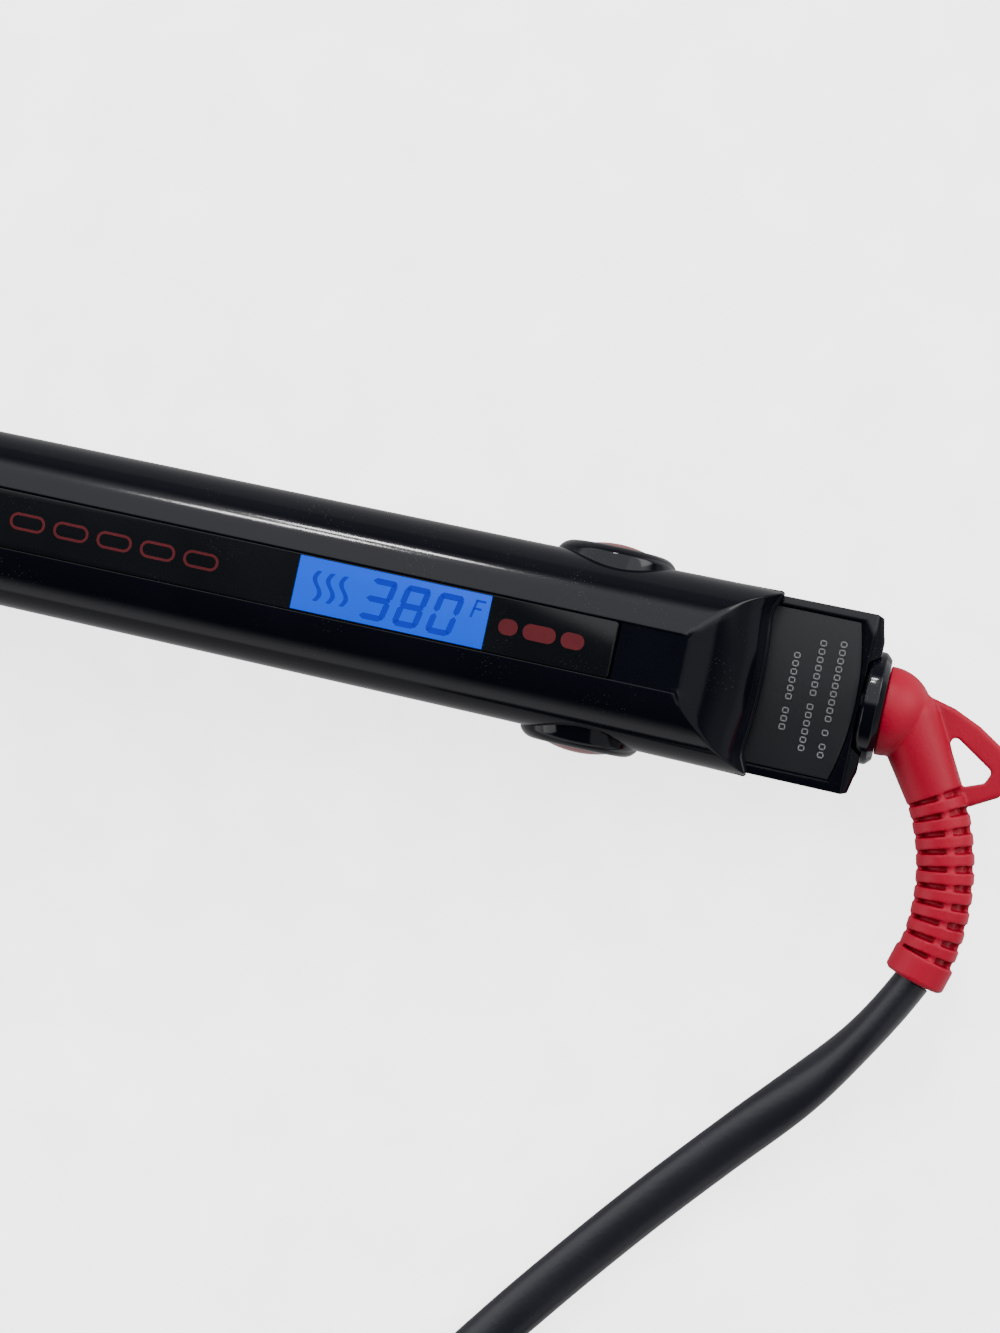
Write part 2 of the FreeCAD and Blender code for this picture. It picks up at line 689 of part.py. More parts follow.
def clamp():
    """Curved clamp on the upper arm: heated plate, heater film, outer cover and cool tip."""
    keep(
        "clamp_plate",
        sector("clamp_plate", "clamp_inner", "clamp_skin", ("-barrel_front", "-handle_front - 6"), 68),
        upper_arm,
    )
    keep(
        "clamp_heater",
        sector(
            "clamp_heater", "clamp_skin", "clamp_skin + 0.6", ("-barrel_front + 8", "-handle_front - 12"), 30
        ),
        upper_arm,
    )
    root_front = "-handle_front - 5.8"
    cover = sector("clamp_shell", "clamp_skin + 0.6", "clamp_outer", ("-barrel_front", "-handle_front"), 76)
    root = sector("clamp_root", "clamp_skin", "clamp_outer", (root_front, "-handle_front"), 76)
    lips = sector("clamp_lips", "clamp_skin", "clamp_outer", ("-barrel_front", root_front), 76)
    room = sector("clamp_room", "clamp_skin - 1", "clamp_skin + 0.6", ("-barrel_front - 1", root_front), 64)
    keep("clamp_cover", fuse("clamp_cover", cover, root, cut("clamp_rails", lips, room)), upper_arm)
    keep(
        "clamp_tip",
        sector("clamp_tip", "clamp_inner", "clamp_outer", ("-tip_front", "-barrel_front"), 76),
        upper_arm,
    )


# ---------------------------------------------------------------- swivel and strain relief
def along_swivel(body, name, start):
    """Place a turned piece with its Z along +X on the swivel axis."""
    keep(name, body, lower_arm, Placement(Vector(start, 0, -size("swivel_drop")), ALONG_X))


def swivel():
    """Swivel collar and spindle, the fixed bush, two slip rings with their brushes, and the clip."""
    shaft = size("spindle_radius")
    front = size("collar_front")
    thick = size("collar_rear") - front
    disc = size("collar_radius")
    collar = turned(
        "swivel_collar",
        [(0, 0), (disc - 0.8, 0), (disc, 0.8), (disc, thick - 1.4), (disc - 0.4, thick - 0.4),
         (disc - 1.4, thick), (0, thick)],
        curves=(4,),
    )
    along_swivel(collar, "swivel_collar", front)
    spindle = turned("swivel_spindle", [(2.4, 0), (shaft, 0), (shaft, 18.2), (2.4, 18.2)])
    along_swivel(spindle, "swivel_spindle", front - 18.2)
    bush_inner = shaft + size("running_gap")
    bush = turned(
        "swivel_bush",
        [(bush_inner, 0), (shaft + 2, 0), (shaft + 2, 1.2), (shaft + 1.5, 1.2), (shaft + 1.5, 6),
         (bush_inner, 6)],
    )
    along_swivel(bush, "swivel_bush", front - 6.4)
    rings = [
        cut(
            f"slip_ring_{i}",
            rod(f"ring_outside_{i}", "x", "spindle_radius + 0.7", (x, f"{x} + 1.8"), ("0", "-swivel_drop")),
            rod(f"ring_inside_{i}", "x", "spindle_radius", (f"{x} - 1", f"{x} + 3"), ("0", "-swivel_drop")),
        )
        for i, x in enumerate(("34", "38"))
    ]
    keep("slip_rings", group("slip_rings", *rings), lower_arm)
    clip = turned("swivel_clip", [(shaft, 0), (shaft + 1.6, 0), (shaft + 1.6, 0.8), (shaft, 0.8)])
    along_swivel(clip, "swivel_clip", front - 8.0)
    track = "-swivel_drop - spindle_radius"
    brushes = [
        box(f"brush_{i}", (x, f"{x} + 1.6"), ("-3", "3"), (f"{track} - 2.4", f"{track} - 1.1"))
        for i, x in enumerate(("34.1", "38.1"))
    ]
    rest = box("brush_rest", ("33", "41"), ("-4", "4"), ("-lower_depth + wall + 0.4", f"{track} - 2.4"))
    keep("brush_block", group("brush_block", rest), lower_arm)
    keep("brushes", group("brushes", *brushes), lower_arm)
    leads = [
        rod(f"lead_{i}", "x", "1.0", ("-146", "32.6"), (y, "-14.5")) for i, y in enumerate(("-5.4", "5.4"))
    ]
    keep("lower_leads", group("lower_leads", *leads), lower_arm)


def label_plate():
    """The plate set into the top of the tail."""
    label = extrusion("label_plate", label_outline(), "xy", (-1.3, -0.45), curves=(2,))
    keep("label_plate", label, lower_arm)


# Strain relief: places in the plane of the swivel axis, relative to the hinge.
BALL_CENTRE = Vector(56.0, 0, 0)
BALL_RADIUS = 8.7
KNEE = Vector(60.4, -0.9, 0)
KNEE_RADIUS = 6.4
ELBOW_END = Vector(68.3, -13.8, 0)
RIBS_MIDDLE = Vector(73.4, -28.6, 0)
RIBS_END = Vector(72.9, -44.6, 0)
RELIEF_END = Vector(71.6, -49.2, 0)
LOOP_OUTER = [
    (59.0, 5.0), (63.4, 4.5), (68.6, 3.2), (74.0, 0.8), (78.8, -2.3),
    (80.9, -6.4), (80.5, -11.5), (74.5, -14.9), (67.0, -11.0),
]
LOOP_HOLE = [(67.7, -0.5), (78.0, -7.2), (77.0, -9.6), (72.7, -11.3)]


def rounded_wire(points, radius):
    """A closed polygon in a plane, with every corner rounded."""
    count = len(points)
    edges = []
    for i in range(count):
        before, corner, after = points[i - 1], points[i], points[(i + 1) % count]
        back = (before - corner).normalize()
        ahead = (after - corner).normalize()
        half = back.getAngle(ahead) / 2
        reach = radius / math.tan(half)
        middle = corner + (back + ahead).normalize() * (radius / math.sin(half) - radius)
        edges.append((corner + back * reach, middle, corner + ahead * reach))
    wire = []
    for i, (start, middle, end) in enumerate(edges):
        wire.append(Part.Arc(start, middle, end).toShape())
        wire.append(Part.LineSegment(end, edges[(i + 1) % count][0]).toShape())
    return Part.Wire(Part.__sortEdges__(wire))


def strain_relief():
    """Red rubber elbow with a hanging loop and a ribbed sleeve, one moulding."""
    radius = size("relief_radius")
    start = size("collar_rear")
    ball = Part.makeSphere(BALL_RADIUS, BALL_CENTRE)
    knee = Part.makeSphere(KNEE_RADIUS, KNEE)
    heading = ELBOW_END - KNEE
    elbow = Part.makeCone(KNEE_RADIUS - 0.15, radius, heading.Length, KNEE, heading)
    sleeve_path = Part.Arc(ELBOW_END, RIBS_MIDDLE, RIBS_END).toShape()
    reach = sleeve_path.Length
    start_way = sleeve_path.tangentAt(sleeve_path.FirstParameter)
    core_ring = Part.Wire(Part.makeCircle(4.0, ELBOW_END, start_way))
    core = Part.Wire(sleeve_path).makePipeShell([core_ring], True, True)
    ribs = []
    rib = 2.2
    for i in range(9):
        along = sleeve_path.getParameterByLength(reach * (i + 0.66) / 9.35)
        way = sleeve_path.tangentAt(along)
        ribs.append(Part.makeCylinder(radius, rib, sleeve_path.valueAt(along) - way * rib / 2, way))
    end_way = RELIEF_END - RIBS_END
    collar = Part.makeCylinder(radius + 0.4, end_way.Length + 0.4, RIBS_END - end_way * 0.08, end_way)
    bar = 3.4
    loop_wire = rounded_wire([Vector(x, y, -bar / 2) for x, y in LOOP_OUTER], 1.6)
    loop = Part.Face(loop_wire).extrude(Vector(0, 0, bar))
    hole_wire = rounded_wire([Vector(x, y, -bar) for x, y in LOOP_HOLE], 1.0)
    hole = Part.Face(hole_wire).extrude(Vector(0, 0, 2 * bar))
    body = elbow.multiFuse([ball, knee, core, collar, loop, *ribs]).removeSplitter().cut(hole)
    behind = Part.makeBox(40, 40, 40, Vector(start - 40, -20, -20))
    relief = doc.addObject("Part::Feature", "strain_relief")
    relief.Shape = body.cut(behind)
    keep("strain_relief", relief, lower_arm, Placement(Vector(0, 0, -size("swivel_drop")), Rotation()))


# ---------------------------------------------------------------- mains lead
# Points of the lead's route, relative to the hinge, along the stretches that are not coiled.
LEAD_ROUTE = [
    (71.6, -49.2, -8.6),
    (67.6, -57.8, -8.8),
    (57.0, -73.4, -10.9),
    (43.9, -88.8, -13.6),
    (29.4, -106.4, -15.7),
    (14.0, -126.4, -16.0),
    (-1.4, -147.6, -16.0),
    (-25.0, -181.5, -16.0),
]
PLUG_ROUTE = [
    (20.0, -270.5, -8.0),
    (46.0, -268.5, -9.6),
    (71.0, -255.0, -12.2),
    (88.0, -233.0, -12.4),
    (96.0, -207.0, -12.0),
]
COIL_CENTRE = Vector(20.0, -214.5, 0)
FLOOR = -20.0


def lead_tube(name, route):
    """A round tube along straight runs joined by tangent arcs, as large as the runs allow."""
    points = [Vector(*p) for p in route]
    edges = []
    last = points[0]
    radii = []
    for before, corner, after in zip(points, points[1:], points[2:]):
        back = before - corner
        ahead = after - corner
        half_turn = (math.pi - back.getAngle(ahead)) / 2
        reach = 0.45 * min(back.Length, ahead.Length)
        radius = reach / math.tan(half_turn)
        radii.append(round(radius, 1))
        back.normalize()
        ahead.normalize()
        inward = (back + ahead).normalize()
        middle = corner + inward * (radius / math.cos(half_turn) - radius)
        edges.append(Part.LineSegment(last, corner + back * reach).toShape())
        edges.append(Part.Arc(corner + back * reach, middle, corner + ahead * reach).toShape())
        last = corner + ahead * reach
    edges.append(Part.LineSegment(last, points[-1]).toShape())
    path = Part.Wire(edges)
    ring = Part.Wire(Part.makeCircle(size("cord_width") / 2, points[0], points[1] - points[0]))
    tube = path.makePipeShell([ring], True, True)
    expected = math.pi * (size("cord_width") / 2) ** 2 * path.Length
    ratio = round(tube.Volume / expected, 4)
    print(name, "length", round(path.Length, 1), "radii", radii, "volume ratio", ratio)
    feature = doc.addObject("Part::Feature", name)
    feature.Shape = tube
    keep(name, feature, lower_arm, Placement())


def coil_and_tie():
    """The put-away length of the lead as one ring, and the strap that holds it."""
    middle = size("coil_radius")
    half = size("coil_half")
    height = size("coil_height")
    corner = size("cord_width") / 2
    ring = turned(
        "coil_ring",
        [(middle - half, corner), (middle - half + corner, 0), (middle + half - corner, 0),
         (middle + half, corner), (middle + half, height - corner), (middle + half - corner, height),
         (middle - half + corner, height), (middle - half, height - corner)],
    )
    ring.Placement = Placement(COIL_CENTRE + Vector(0, 0, FLOOR), Rotation())
    strap = 1.0
    tie_y = (COIL_CENTRE.y - 4, COIL_CENTRE.y + 4)
    inner_x = COIL_CENTRE.x - middle - half
    outer_x = COIL_CENTRE.x - middle + half
    frame = box(
        "tie_outside",
        (f"{inner_x - strap}", f"{outer_x + strap}"),
        (f"{tie_y[0]}", f"{tie_y[1]}"),
        (f"{FLOOR}", f"{FLOOR + height + strap}"),
    )
    hollow = box(
        "tie_inside",
        (f"{inner_x}", f"{outer_x}"),
        (f"{tie_y[0] - 1}", f"{tie_y[1] + 1}"),
        (f"{FLOOR + strap}", f"{FLOOR + height}"),
    )
    under = box(
        "tie_under",
        (f"{inner_x - 5}", f"{outer_x + 5}"),
        (f"{tie_y[0]}", f"{tie_y[1]}"),
        (f"{FLOOR - 1}", f"{FLOOR + strap}"),
    )
    keep("cord_tie", cut("cord_tie", frame, hollow), lower_arm)
    keep("cord_coil", cut("cord_coil", ring, under), lower_arm)


def plug():
    """Two-blade mains plug that lies beside the coil."""
    end = Vector(*PLUG_ROUTE[-1])
    way = end - Vector(*PLUG_ROUTE[-2])
    bearing = math.degrees(math.atan2(way.y, way.x))
    place = Placement(end, Rotation(Vector(0, 0, 1), bearing))
    neck = rod("plug_neck", "x", "5.2", ("0", "14"))
    shell = plate("plug_shell", ("10", "36"), ("-11", "11"), ("-7.6", "7.6"), 3.0, lambda e: True)
    body = fuse("plug_body", neck, shell)
    keep("plug_body", body, lower_arm, place)
    blades = [
        cut(
            f"blade_{i}",
            box(f"blade_bar_{i}", ("36", "53"), (f"{y} - 0.75", f"{y} + 0.75"), ("-3.2", "3.2")),
            rod(f"blade_hole_{i}", "y", "1.6", (f"{y} - 2", f"{y} + 2"), ("49.5", "0")),
        )
        for i, y in enumerate((-6.35, 6.35))
    ]
    keep("plug_blades", group("plug_blades", *blades), lower_arm, place)


# ---------------------------------------------------------------- build, check, write
upper_housing()
lower_housing()
covers()
strip_and_display()
circuit_board()
buttons()
hinge()
arm_spring()
barrel()
clamp()
swivel()
label_plate()
strain_relief()
lead_tube("cord_lead", LEAD_ROUTE)
coil_and_tie()
lead_tube("cord_end", PLUG_ROUTE)
plug()

doc.recompute()
failed = [o.Label for o in doc.Objects if "Invalid" in o.State or "Error" in o.State]
if failed:
    raise RuntimeError(f"failed objects: {failed}")
for name, part in parts.items():
    if part.Shape.isNull() or not part.Shape.isValid() or not part.Shape.Solids:
        raise RuntimeError(f"bad shape: {name}")
    print(f"{name:20s} solids {len(part.Shape.Solids)} volume {part.Shape.Volume:10.1f}")

os.makedirs("parts", exist_ok=True)
for name, part in parts.items():
    part.Shape.exportStep(f"parts/{name}.step")
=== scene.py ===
"""Looks of the two-arm curling iron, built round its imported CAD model.

Shapes are written in millimetres from the hinge axis with both arms closed, as the iron is drawn, and are
then placed: the lower arm is lifted to the hinge, and the upper arm is also turned open about it."""

import functools
import json
import math
import bmesh
import bpy
from mathutils import Matrix, Vector


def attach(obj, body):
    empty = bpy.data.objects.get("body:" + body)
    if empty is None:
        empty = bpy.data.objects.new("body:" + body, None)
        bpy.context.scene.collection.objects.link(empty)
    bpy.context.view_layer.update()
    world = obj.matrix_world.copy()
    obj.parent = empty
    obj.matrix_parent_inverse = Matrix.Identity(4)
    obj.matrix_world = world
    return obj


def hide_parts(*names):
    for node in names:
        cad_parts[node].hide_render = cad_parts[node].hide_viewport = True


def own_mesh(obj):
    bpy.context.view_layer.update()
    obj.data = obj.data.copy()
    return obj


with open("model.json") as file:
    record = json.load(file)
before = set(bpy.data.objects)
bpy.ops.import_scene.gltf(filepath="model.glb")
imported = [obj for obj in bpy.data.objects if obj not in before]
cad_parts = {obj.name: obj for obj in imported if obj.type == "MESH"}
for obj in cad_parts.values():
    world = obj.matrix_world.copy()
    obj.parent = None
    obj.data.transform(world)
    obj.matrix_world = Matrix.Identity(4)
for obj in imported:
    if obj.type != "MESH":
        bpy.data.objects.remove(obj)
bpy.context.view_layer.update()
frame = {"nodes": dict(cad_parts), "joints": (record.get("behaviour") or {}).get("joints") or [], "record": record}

MM = 0.001
joints = {joint["name"]: joint for joint in frame["joints"]}
HINGE = Vector(joints["arm_hinge"]["pos_m"])
OPEN = math.radians(-joints["arm_hinge"]["range_deg"][0])
LOWER = Matrix.Translation(HINGE) @ Matrix.Scale(MM, 4)
UPPER = Matrix.Translation(HINGE) @ Matrix.Rotation(OPEN, 4, "Y") @ Matrix.Scale(MM, 4)
PLACE = {"lower_arm": LOWER, "upper_arm": UPPER, "cord_swivel": LOWER}
for button in ("minus_button", "plus_button", "power_button"):
    PLACE[button] = UPPER

# Driving sizes of the casing, in millimetres.
HANDLE_FRONT = -150.0
WIDTH_STATION = -16.0
HOOD_REAR = 31.7
TAIL_REAR = 53.0
ARM_DEPTH = 17.6
LOWER_DEPTH = 20.0
FLAT_HALF = 5.6
SHOULDER = 4.3
WALL = 2.2
GAP = 0.2
STRIP_HALF = 5.45
STRIP_FRONT = -148.0
STRIP_REAR = 2.7
STRIP_TOP = 17.3
DISPLAY = (-58.1, -21.7)
DISPLAY_HALF = 5.1
BARREL_DROP = -4.0
BARREL_RADIUS = 12.5
BARREL_REAR = 150.0
BARREL_FRONT = 262.0
TIP_FRONT = 274.0
SWIVEL_DROP = -8.6
COLLAR_REAR = 55.2
KNUCKLE_RADIUS = 8.0
CAP_RADIUS = 11.5
DOME_RADIUS = 7.1
CORD = 8.0
ALONG_X = Matrix.Rotation(math.pi / 2, 4, "Y")
ALONG_Y = Matrix.Rotation(-math.pi / 2, 4, "X")


# ---------------- materials
BLACK, WHITE = (0, 0, 0), (1, 1, 1)


def node_of(tree, kind, **inputs):
    """A new shader node with some of its inputs set."""
    node = tree.nodes.new(kind)
    for name, value in inputs.items():
        node.inputs[name.replace("_", " ")].default_value = value
    return node


def ramp(tree, low, high):
    """A colour ramp between two ends, each a position and a colour."""
    node = tree.nodes.new("ShaderNodeValToRGB")
    for end, (position, colour) in zip(node.color_ramp.elements, (low, high)):
        end.position = position
        end.color = (*colour, 1)
    return node


def material(name, colour, roughness, spread=0.04, bump=0.05, scale=400.0, metallic=0.0, mottle=0.15, **sockets):
    """A moulded or machined surface: mottled colour, uneven roughness and a fine bump, all from noise."""
    mat = bpy.data.materials.new(name)
    mat.use_nodes = True
    tree = mat.node_tree
    link = tree.links.new
    shader = tree.nodes["Principled BSDF"]
    place = tree.nodes.new("ShaderNodeTexCoord")
    broad = node_of(tree, "ShaderNodeTexNoise", Scale=60.0, Detail=4.0)
    fine = node_of(tree, "ShaderNodeTexNoise", Scale=scale, Detail=5.0)
    dark = [c * (1 - mottle) for c in colour]
    light = [min(1, c * (1 + mottle)) for c in colour]
    shades = ramp(tree, (0.3, dark), (0.7, light))
    level = node_of(tree, "ShaderNodeMapRange")
    level.inputs["To Min"].default_value = max(0.02, roughness - spread)
    level.inputs["To Max"].default_value = roughness + spread
    relief = node_of(tree, "ShaderNodeBump", Strength=bump, Distance=0.0002)
    for texture in (broad, fine):
        link(place.outputs["Object"], texture.inputs["Vector"])
    link(broad.outputs["Fac"], shades.inputs["Fac"])
    link(shades.outputs["Color"], shader.inputs["Base Color"])
    link(broad.outputs["Fac"], level.inputs["Value"])
    link(level.outputs["Result"], shader.inputs["Roughness"])
    link(fine.outputs["Fac"], relief.inputs["Height"])
    link(relief.outputs["Normal"], shader.inputs["Normal"])
    shader.inputs["Metallic"].default_value = metallic
    for socket, value in sockets.items():
        shader.inputs[socket.replace("_", " ")].default_value = value
    return mat


def combine(tree, kind, value, *others):
    """A value with other values, or plain numbers, added or multiplied in turn."""
    for other in others:
        maths = tree.nodes.new("ShaderNodeMath")
        maths.operation = kind
        tree.links.new(value, maths.inputs[0])
        if isinstance(other, float):
            maths.inputs[1].default_value = other
        else:
            tree.links.new(other, maths.inputs[1])
        value = maths.outputs["Value"]
    return value


def dusty(mat, amount):
    """Fine dust and rubbed specks over a glossy surface, as sparse pale dots."""
    tree = mat.node_tree
    link = tree.links.new
    shader = tree.nodes["Principled BSDF"]
    place = next(n for n in tree.nodes if n.type == "TEX_COORD")
    spots = node_of(tree, "ShaderNodeTexVoronoi", Scale=1500.0)
    edge = ramp(tree, (0.06, WHITE), (0.16, BLACK))
    patch = node_of(tree, "ShaderNodeTexNoise", Scale=90.0, Detail=3.0)
    gate = ramp(tree, (0.52, BLACK), (0.72, WHITE))
    mix = tree.nodes.new("ShaderNodeMix")
    mix.data_type = "RGBA"
    base = shader.inputs["Base Color"].links[0].from_socket
    for texture in (spots, patch):
        link(place.outputs["Object"], texture.inputs["Vector"])
    link(spots.outputs["Distance"], edge.inputs["Fac"])
    link(patch.outputs["Fac"], gate.inputs["Fac"])
    link(combine(tree, "MULTIPLY", edge.outputs["Color"], gate.outputs["Color"], amount), mix.inputs["Factor"])
    link(base, mix.inputs["A"])
    mix.inputs["B"].default_value = (0.35, 0.36, 0.38, 1)
    link(mix.outputs["Result"], shader.inputs["Base Color"])
    return mat


def glowing(name, colour, strength, roughness=0.25):
    """A lit surface whose glow is a little uneven."""
    mat = material(name, colour, roughness, mottle=0.04, Specular_IOR_Level=0.15)
    shader = mat.node_tree.nodes["Principled BSDF"]
    source = shader.inputs["Base Color"].links[0].from_socket
    mat.node_tree.links.new(source, shader.inputs["Emission Color"])
    shader.inputs["Emission Strength"].default_value = strength
    return mat


GLOSS = dusty(material("black_gloss_plastic", (0.0025, 0.003, 0.0055), 0.10, 0.03, 0.02, 900,
                       Specular_IOR_Level=0.25), 0.2)
SATIN = material("black_satin_plastic", (0.012, 0.0125, 0.014), 0.42, 0.06, 0.12, 1600, Specular_IOR_Level=0.35)
STRIP = dusty(material("smoked_strip_plastic", (0.004, 0.0048, 0.006), 0.16, 0.03, 0.02, 900,
                       Specular_IOR_Level=0.25), 0.16)
LABEL = material("label_plate_plastic", (0.0072, 0.0088, 0.0106), 0.46, 0.05, 0.10, 2200, Specular_IOR_Level=0.3)
RED_GLOSS = material("red_gloss_plastic", (0.24, 0.006, 0.010), 0.16, 0.03, 0.02, 900, Specular_IOR_Level=0.25)
RED_PRINT = material("red_print", (0.085, 0.0045, 0.0085), 0.45, 0.05, 0.05, 1500, Specular_IOR_Level=0.25)
PALE_PRINT = material("pale_print", (0.19, 0.192, 0.20), 0.5, 0.05, 0.05, 1500)
RED_RUBBER = material("red_rubber", (0.36, 0.0035, 0.023), 0.44, 0.07, 0.22, 1300, mottle=0.1,
                      Specular_IOR_Level=0.2)
CORD_RUBBER = material("cord_rubber", (0.0095, 0.0098, 0.0145), 0.36, 0.06, 0.25, 900, Specular_IOR_Level=0.4)
ALUMINIUM = material("coated_aluminium", (0.20, 0.20, 0.215), 0.30, 0.06, 0.08, 700, metallic=1.0)
STEEL = material("steel", (0.55, 0.55, 0.57), 0.26, 0.05, 0.05, 700, metallic=1.0)
BRASS = material("brass", (0.62, 0.42, 0.16), 0.28, 0.05, 0.05, 700, metallic=1.0)
BOARD = material("circuit_board", (0.012, 0.10, 0.035), 0.38, 0.05, 0.2, 500, mottle=0.3)
CERAMIC = material("ceramic", (0.72, 0.70, 0.64), 0.55, 0.05, 0.15, 900)
WIRE = material("wire_cover", (0.55, 0.55, 0.52), 0.45, 0.05, 0.1, 900)
SCREEN = glowing("display_blue", (0.0, 0.05, 0.48), 1.0)
SEGMENT = glowing("display_segment", (0.0, 0.012, 0.28), 1.0)

SLOT_MATERIAL = {
    "black_gloss": GLOSS, "black_satin": SATIN, "smoked_strip": STRIP, "label_black": LABEL,
    "red_gloss": RED_GLOSS, "red_rubber": RED_RUBBER, "cord_rubber": CORD_RUBBER, "heated_alu": ALUMINIUM,
    "steel": STEEL, "brass": BRASS, "board_green": BOARD, "ceramic": CERAMIC, "wire_cover": WIRE, "lcd": SCREEN,
}
for part in frame["record"]["subparts"]:
    node = frame["nodes"].get(part["node"])
    if node:
        for holder in node.material_slots:
            holder.material = SLOT_MATERIAL[part["material_slot"]]


# ---------------- mesh tools
def linked_object(bm, name="scratch"):
    """An object made from a bmesh, which goes."""
    mesh = bpy.data.meshes.new(name)
    bm.to_mesh(mesh)
    bm.free()
    thing = bpy.data.objects.new(name, mesh)
    bpy.context.scene.collection.objects.link(thing)
    return thing


def discard(thing):
    mesh = thing.data
    bpy.data.objects.remove(thing)
    bpy.data.meshes.remove(mesh)


def finish_piece(name, bm, body, slot_name, nodes=(), mat=None, place=None, sharp=35.0):
    """Turn a bmesh in millimetres into a piece on a body: smooth, with its hard edges marked.
    It takes its slot's material unless it has its own."""
    bmesh.ops.remove_doubles(bm, verts=bm.verts, dist=1e-4)
    bmesh.ops.recalc_face_normals(bm, faces=bm.faces)
    limit = math.radians(sharp)
    for face in bm.faces:
        face.smooth = True
    for edge in bm.edges:
        edge.smooth = not (len(edge.link_faces) == 2 and edge.calc_face_angle(0) > limit)
    bm.transform(place or PLACE[body])
    piece = linked_object(bm, name)
    piece.data.materials.append(mat or SLOT_MATERIAL[slot_name])
    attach(piece, body)
    if nodes:
        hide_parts(*nodes)
    return piece


def skin(bm, rings, closed):
    """Faces between rings of points; each ring is closed on itself or open."""
    rows = [[bm.verts.new(p) for p in ring] for ring in rings]
    count = len(rows[0])
    for a, b in zip(rows, rows[1:]):
        for j in range(count if closed else count - 1):
            k = (j + 1) % count
            bm.faces.new((a[j], a[k], b[k], b[j]))
    return rows


def lathe(profile, place, segments=96):
    """A turned solid: (radius, height) points about Z, then placed. The profile starts and ends on the axis
    or comes back to its first point."""
    bm = bmesh.new()
    rings = []
    for radius, height in profile:
        step = 2 * math.pi / segments
        rings.append([(radius * math.cos(i * step), radius * math.sin(i * step), height) for i in range(segments)])
    if profile[0][0] > 1e-6 and profile[0] != profile[-1]:
        rings.append(rings[0])
    skin(bm, rings, True)
    bmesh.ops.remove_doubles(bm, verts=bm.verts, dist=1e-5)
    bm.transform(place)
    return bm


def fillet(points, radius, steps=5, closed=False):
    """A 2-D outline with its corners rounded by arcs."""
    out = []
    count = len(points)
    for i, here in enumerate(points):
        if not closed and i in (0, count - 1):
            out.append(tuple(here))
            continue
        corner = Vector(here)
        back = Vector(points[i - 1]) - corner
        ahead = Vector(points[(i + 1) % count]) - corner
        half = back.angle(ahead) / 2
        reach = min(radius / math.tan(half), 0.48 * back.length, 0.48 * ahead.length)
        size = reach * math.tan(half)
        inward = (back.normalized() + ahead.normalized()).normalized()
        centre = corner + inward * (size / math.sin(half))
        start = corner + back.normalized() * reach - centre
        end = corner + ahead.normalized() * reach - centre
        for k in range(steps + 1):
            ray = start.lerp(end, k / steps).normalized() * size
            out.append(tuple(centre + ray))
    return out


def round_off(bm, edges, size, steps=3):
    bmesh.ops.bevel(bm, geom=edges, offset=size, segments=steps, profile=0.5, affect="EDGES", clamp_overlap=True)


def rectangle(x, y):
    return [(x[0], y[0]), (x[1], y[0]), (x[1], y[1]), (x[0], y[1])]


def slab(outline, low, high, edge=0.3, turn=None):
    """A flat plate of any outline between two heights, with rounded edges."""
    bm = bmesh.new()
    face = bm.faces.new([bm.verts.new((x, y, low)) for x, y in outline])
    top = bmesh.ops.extrude_face_region(bm, geom=[face])
    moved = [v for v in top["geom"] if isinstance(v, bmesh.types.BMVert)]
    bmesh.ops.translate(bm, verts=moved, vec=(0, 0, high - low))
    bmesh.ops.recalc_face_normals(bm, faces=bm.faces)
    if edge:
        flat = [e for e in bm.edges if abs(e.verts[0].co.z - e.verts[1].co.z) < 1e-6]
        round_off(bm, flat, edge)
    if turn:
        bm.transform(turn)
    return bm


def rounded_box(x, y, z, corner, edge, place=None):
    """A flat box with rounded corners in plan, and rounded edges."""
    return slab(fillet(rectangle(x, y), corner, closed=True), *z, edge, place)


def joined(*meshes):
    """Several bmeshes as one."""
    whole = bmesh.new()
    for bm in meshes:
        spare = bpy.data.meshes.new("spare")
        bm.to_mesh(spare)
        bm.free()
        whole.from_mesh(spare)
        bpy.data.meshes.remove(spare)
    return whole


def applied(thing):
    """The object's mesh with its modifiers applied, as a bmesh; the object goes."""
    graph = bpy.context.evaluated_depsgraph_get()
    graph.update()
    bm = bmesh.new()
    bm.from_object(thing, graph)
    discard(thing)
    return bm


def carve(bm, cutters):
    """Cut closed solids out of a closed one."""
    for cutter in cutters:
        bmesh.ops.recalc_face_normals(cutter, faces=cutter.faces)
        target = linked_object(bm)
        tool = linked_object(cutter)
        boolean = target.modifiers.new("cut", "BOOLEAN")
        boolean.operation = "DIFFERENCE"
        boolean.solver = "EXACT"
        boolean.object = tool
        bm = applied(target)
        discard(tool)
    return bm


def block(x, y, z):
    """A sharp box, used to cut or as a thin print."""
    return slab(rectangle(x, y), *z, 0)


def rod(radius, low, high):
    """The profile of a plain solid cylinder."""
    return [(0, low), (radius, low), (radius, high), (0, high)]


def pipe(inner, outer, low, high):
    """The profile of a plain tube."""
    return [(inner, low), (outer, low), (outer, high), (inner, high), (inner, low)]


def drum(radius, span, axis="Y", centre=(0, 0, 0), segments=96):
    """A plain cylinder along an axis, used to cut."""
    turn = {"X": ALONG_X, "Y": ALONG_Y, "Z": Matrix()}[axis]
    return lathe(rod(radius, *span), Matrix.Translation(centre) @ turn, segments)


def blend_in(low, high, value):
    """Smooth step from 0 to 1."""
    t = min(1, max(0, (value - low) / (high - low)))
    return t * t * (3 - 2 * t)


# ---------------- casing
def width_at(x, front, middle, rear, rear_end):
    """Half an arm's width: it grows from the front to a station near the hinge, and more slowly behind it."""
    if x < WIDTH_STATION:
        return middle + (x - WIDTH_STATION) * (middle - front) / (WIDTH_STATION - HANDLE_FRONT)
    return middle + (x - WIDTH_STATION) * (rear - middle) / (rear_end - WIDTH_STATION)


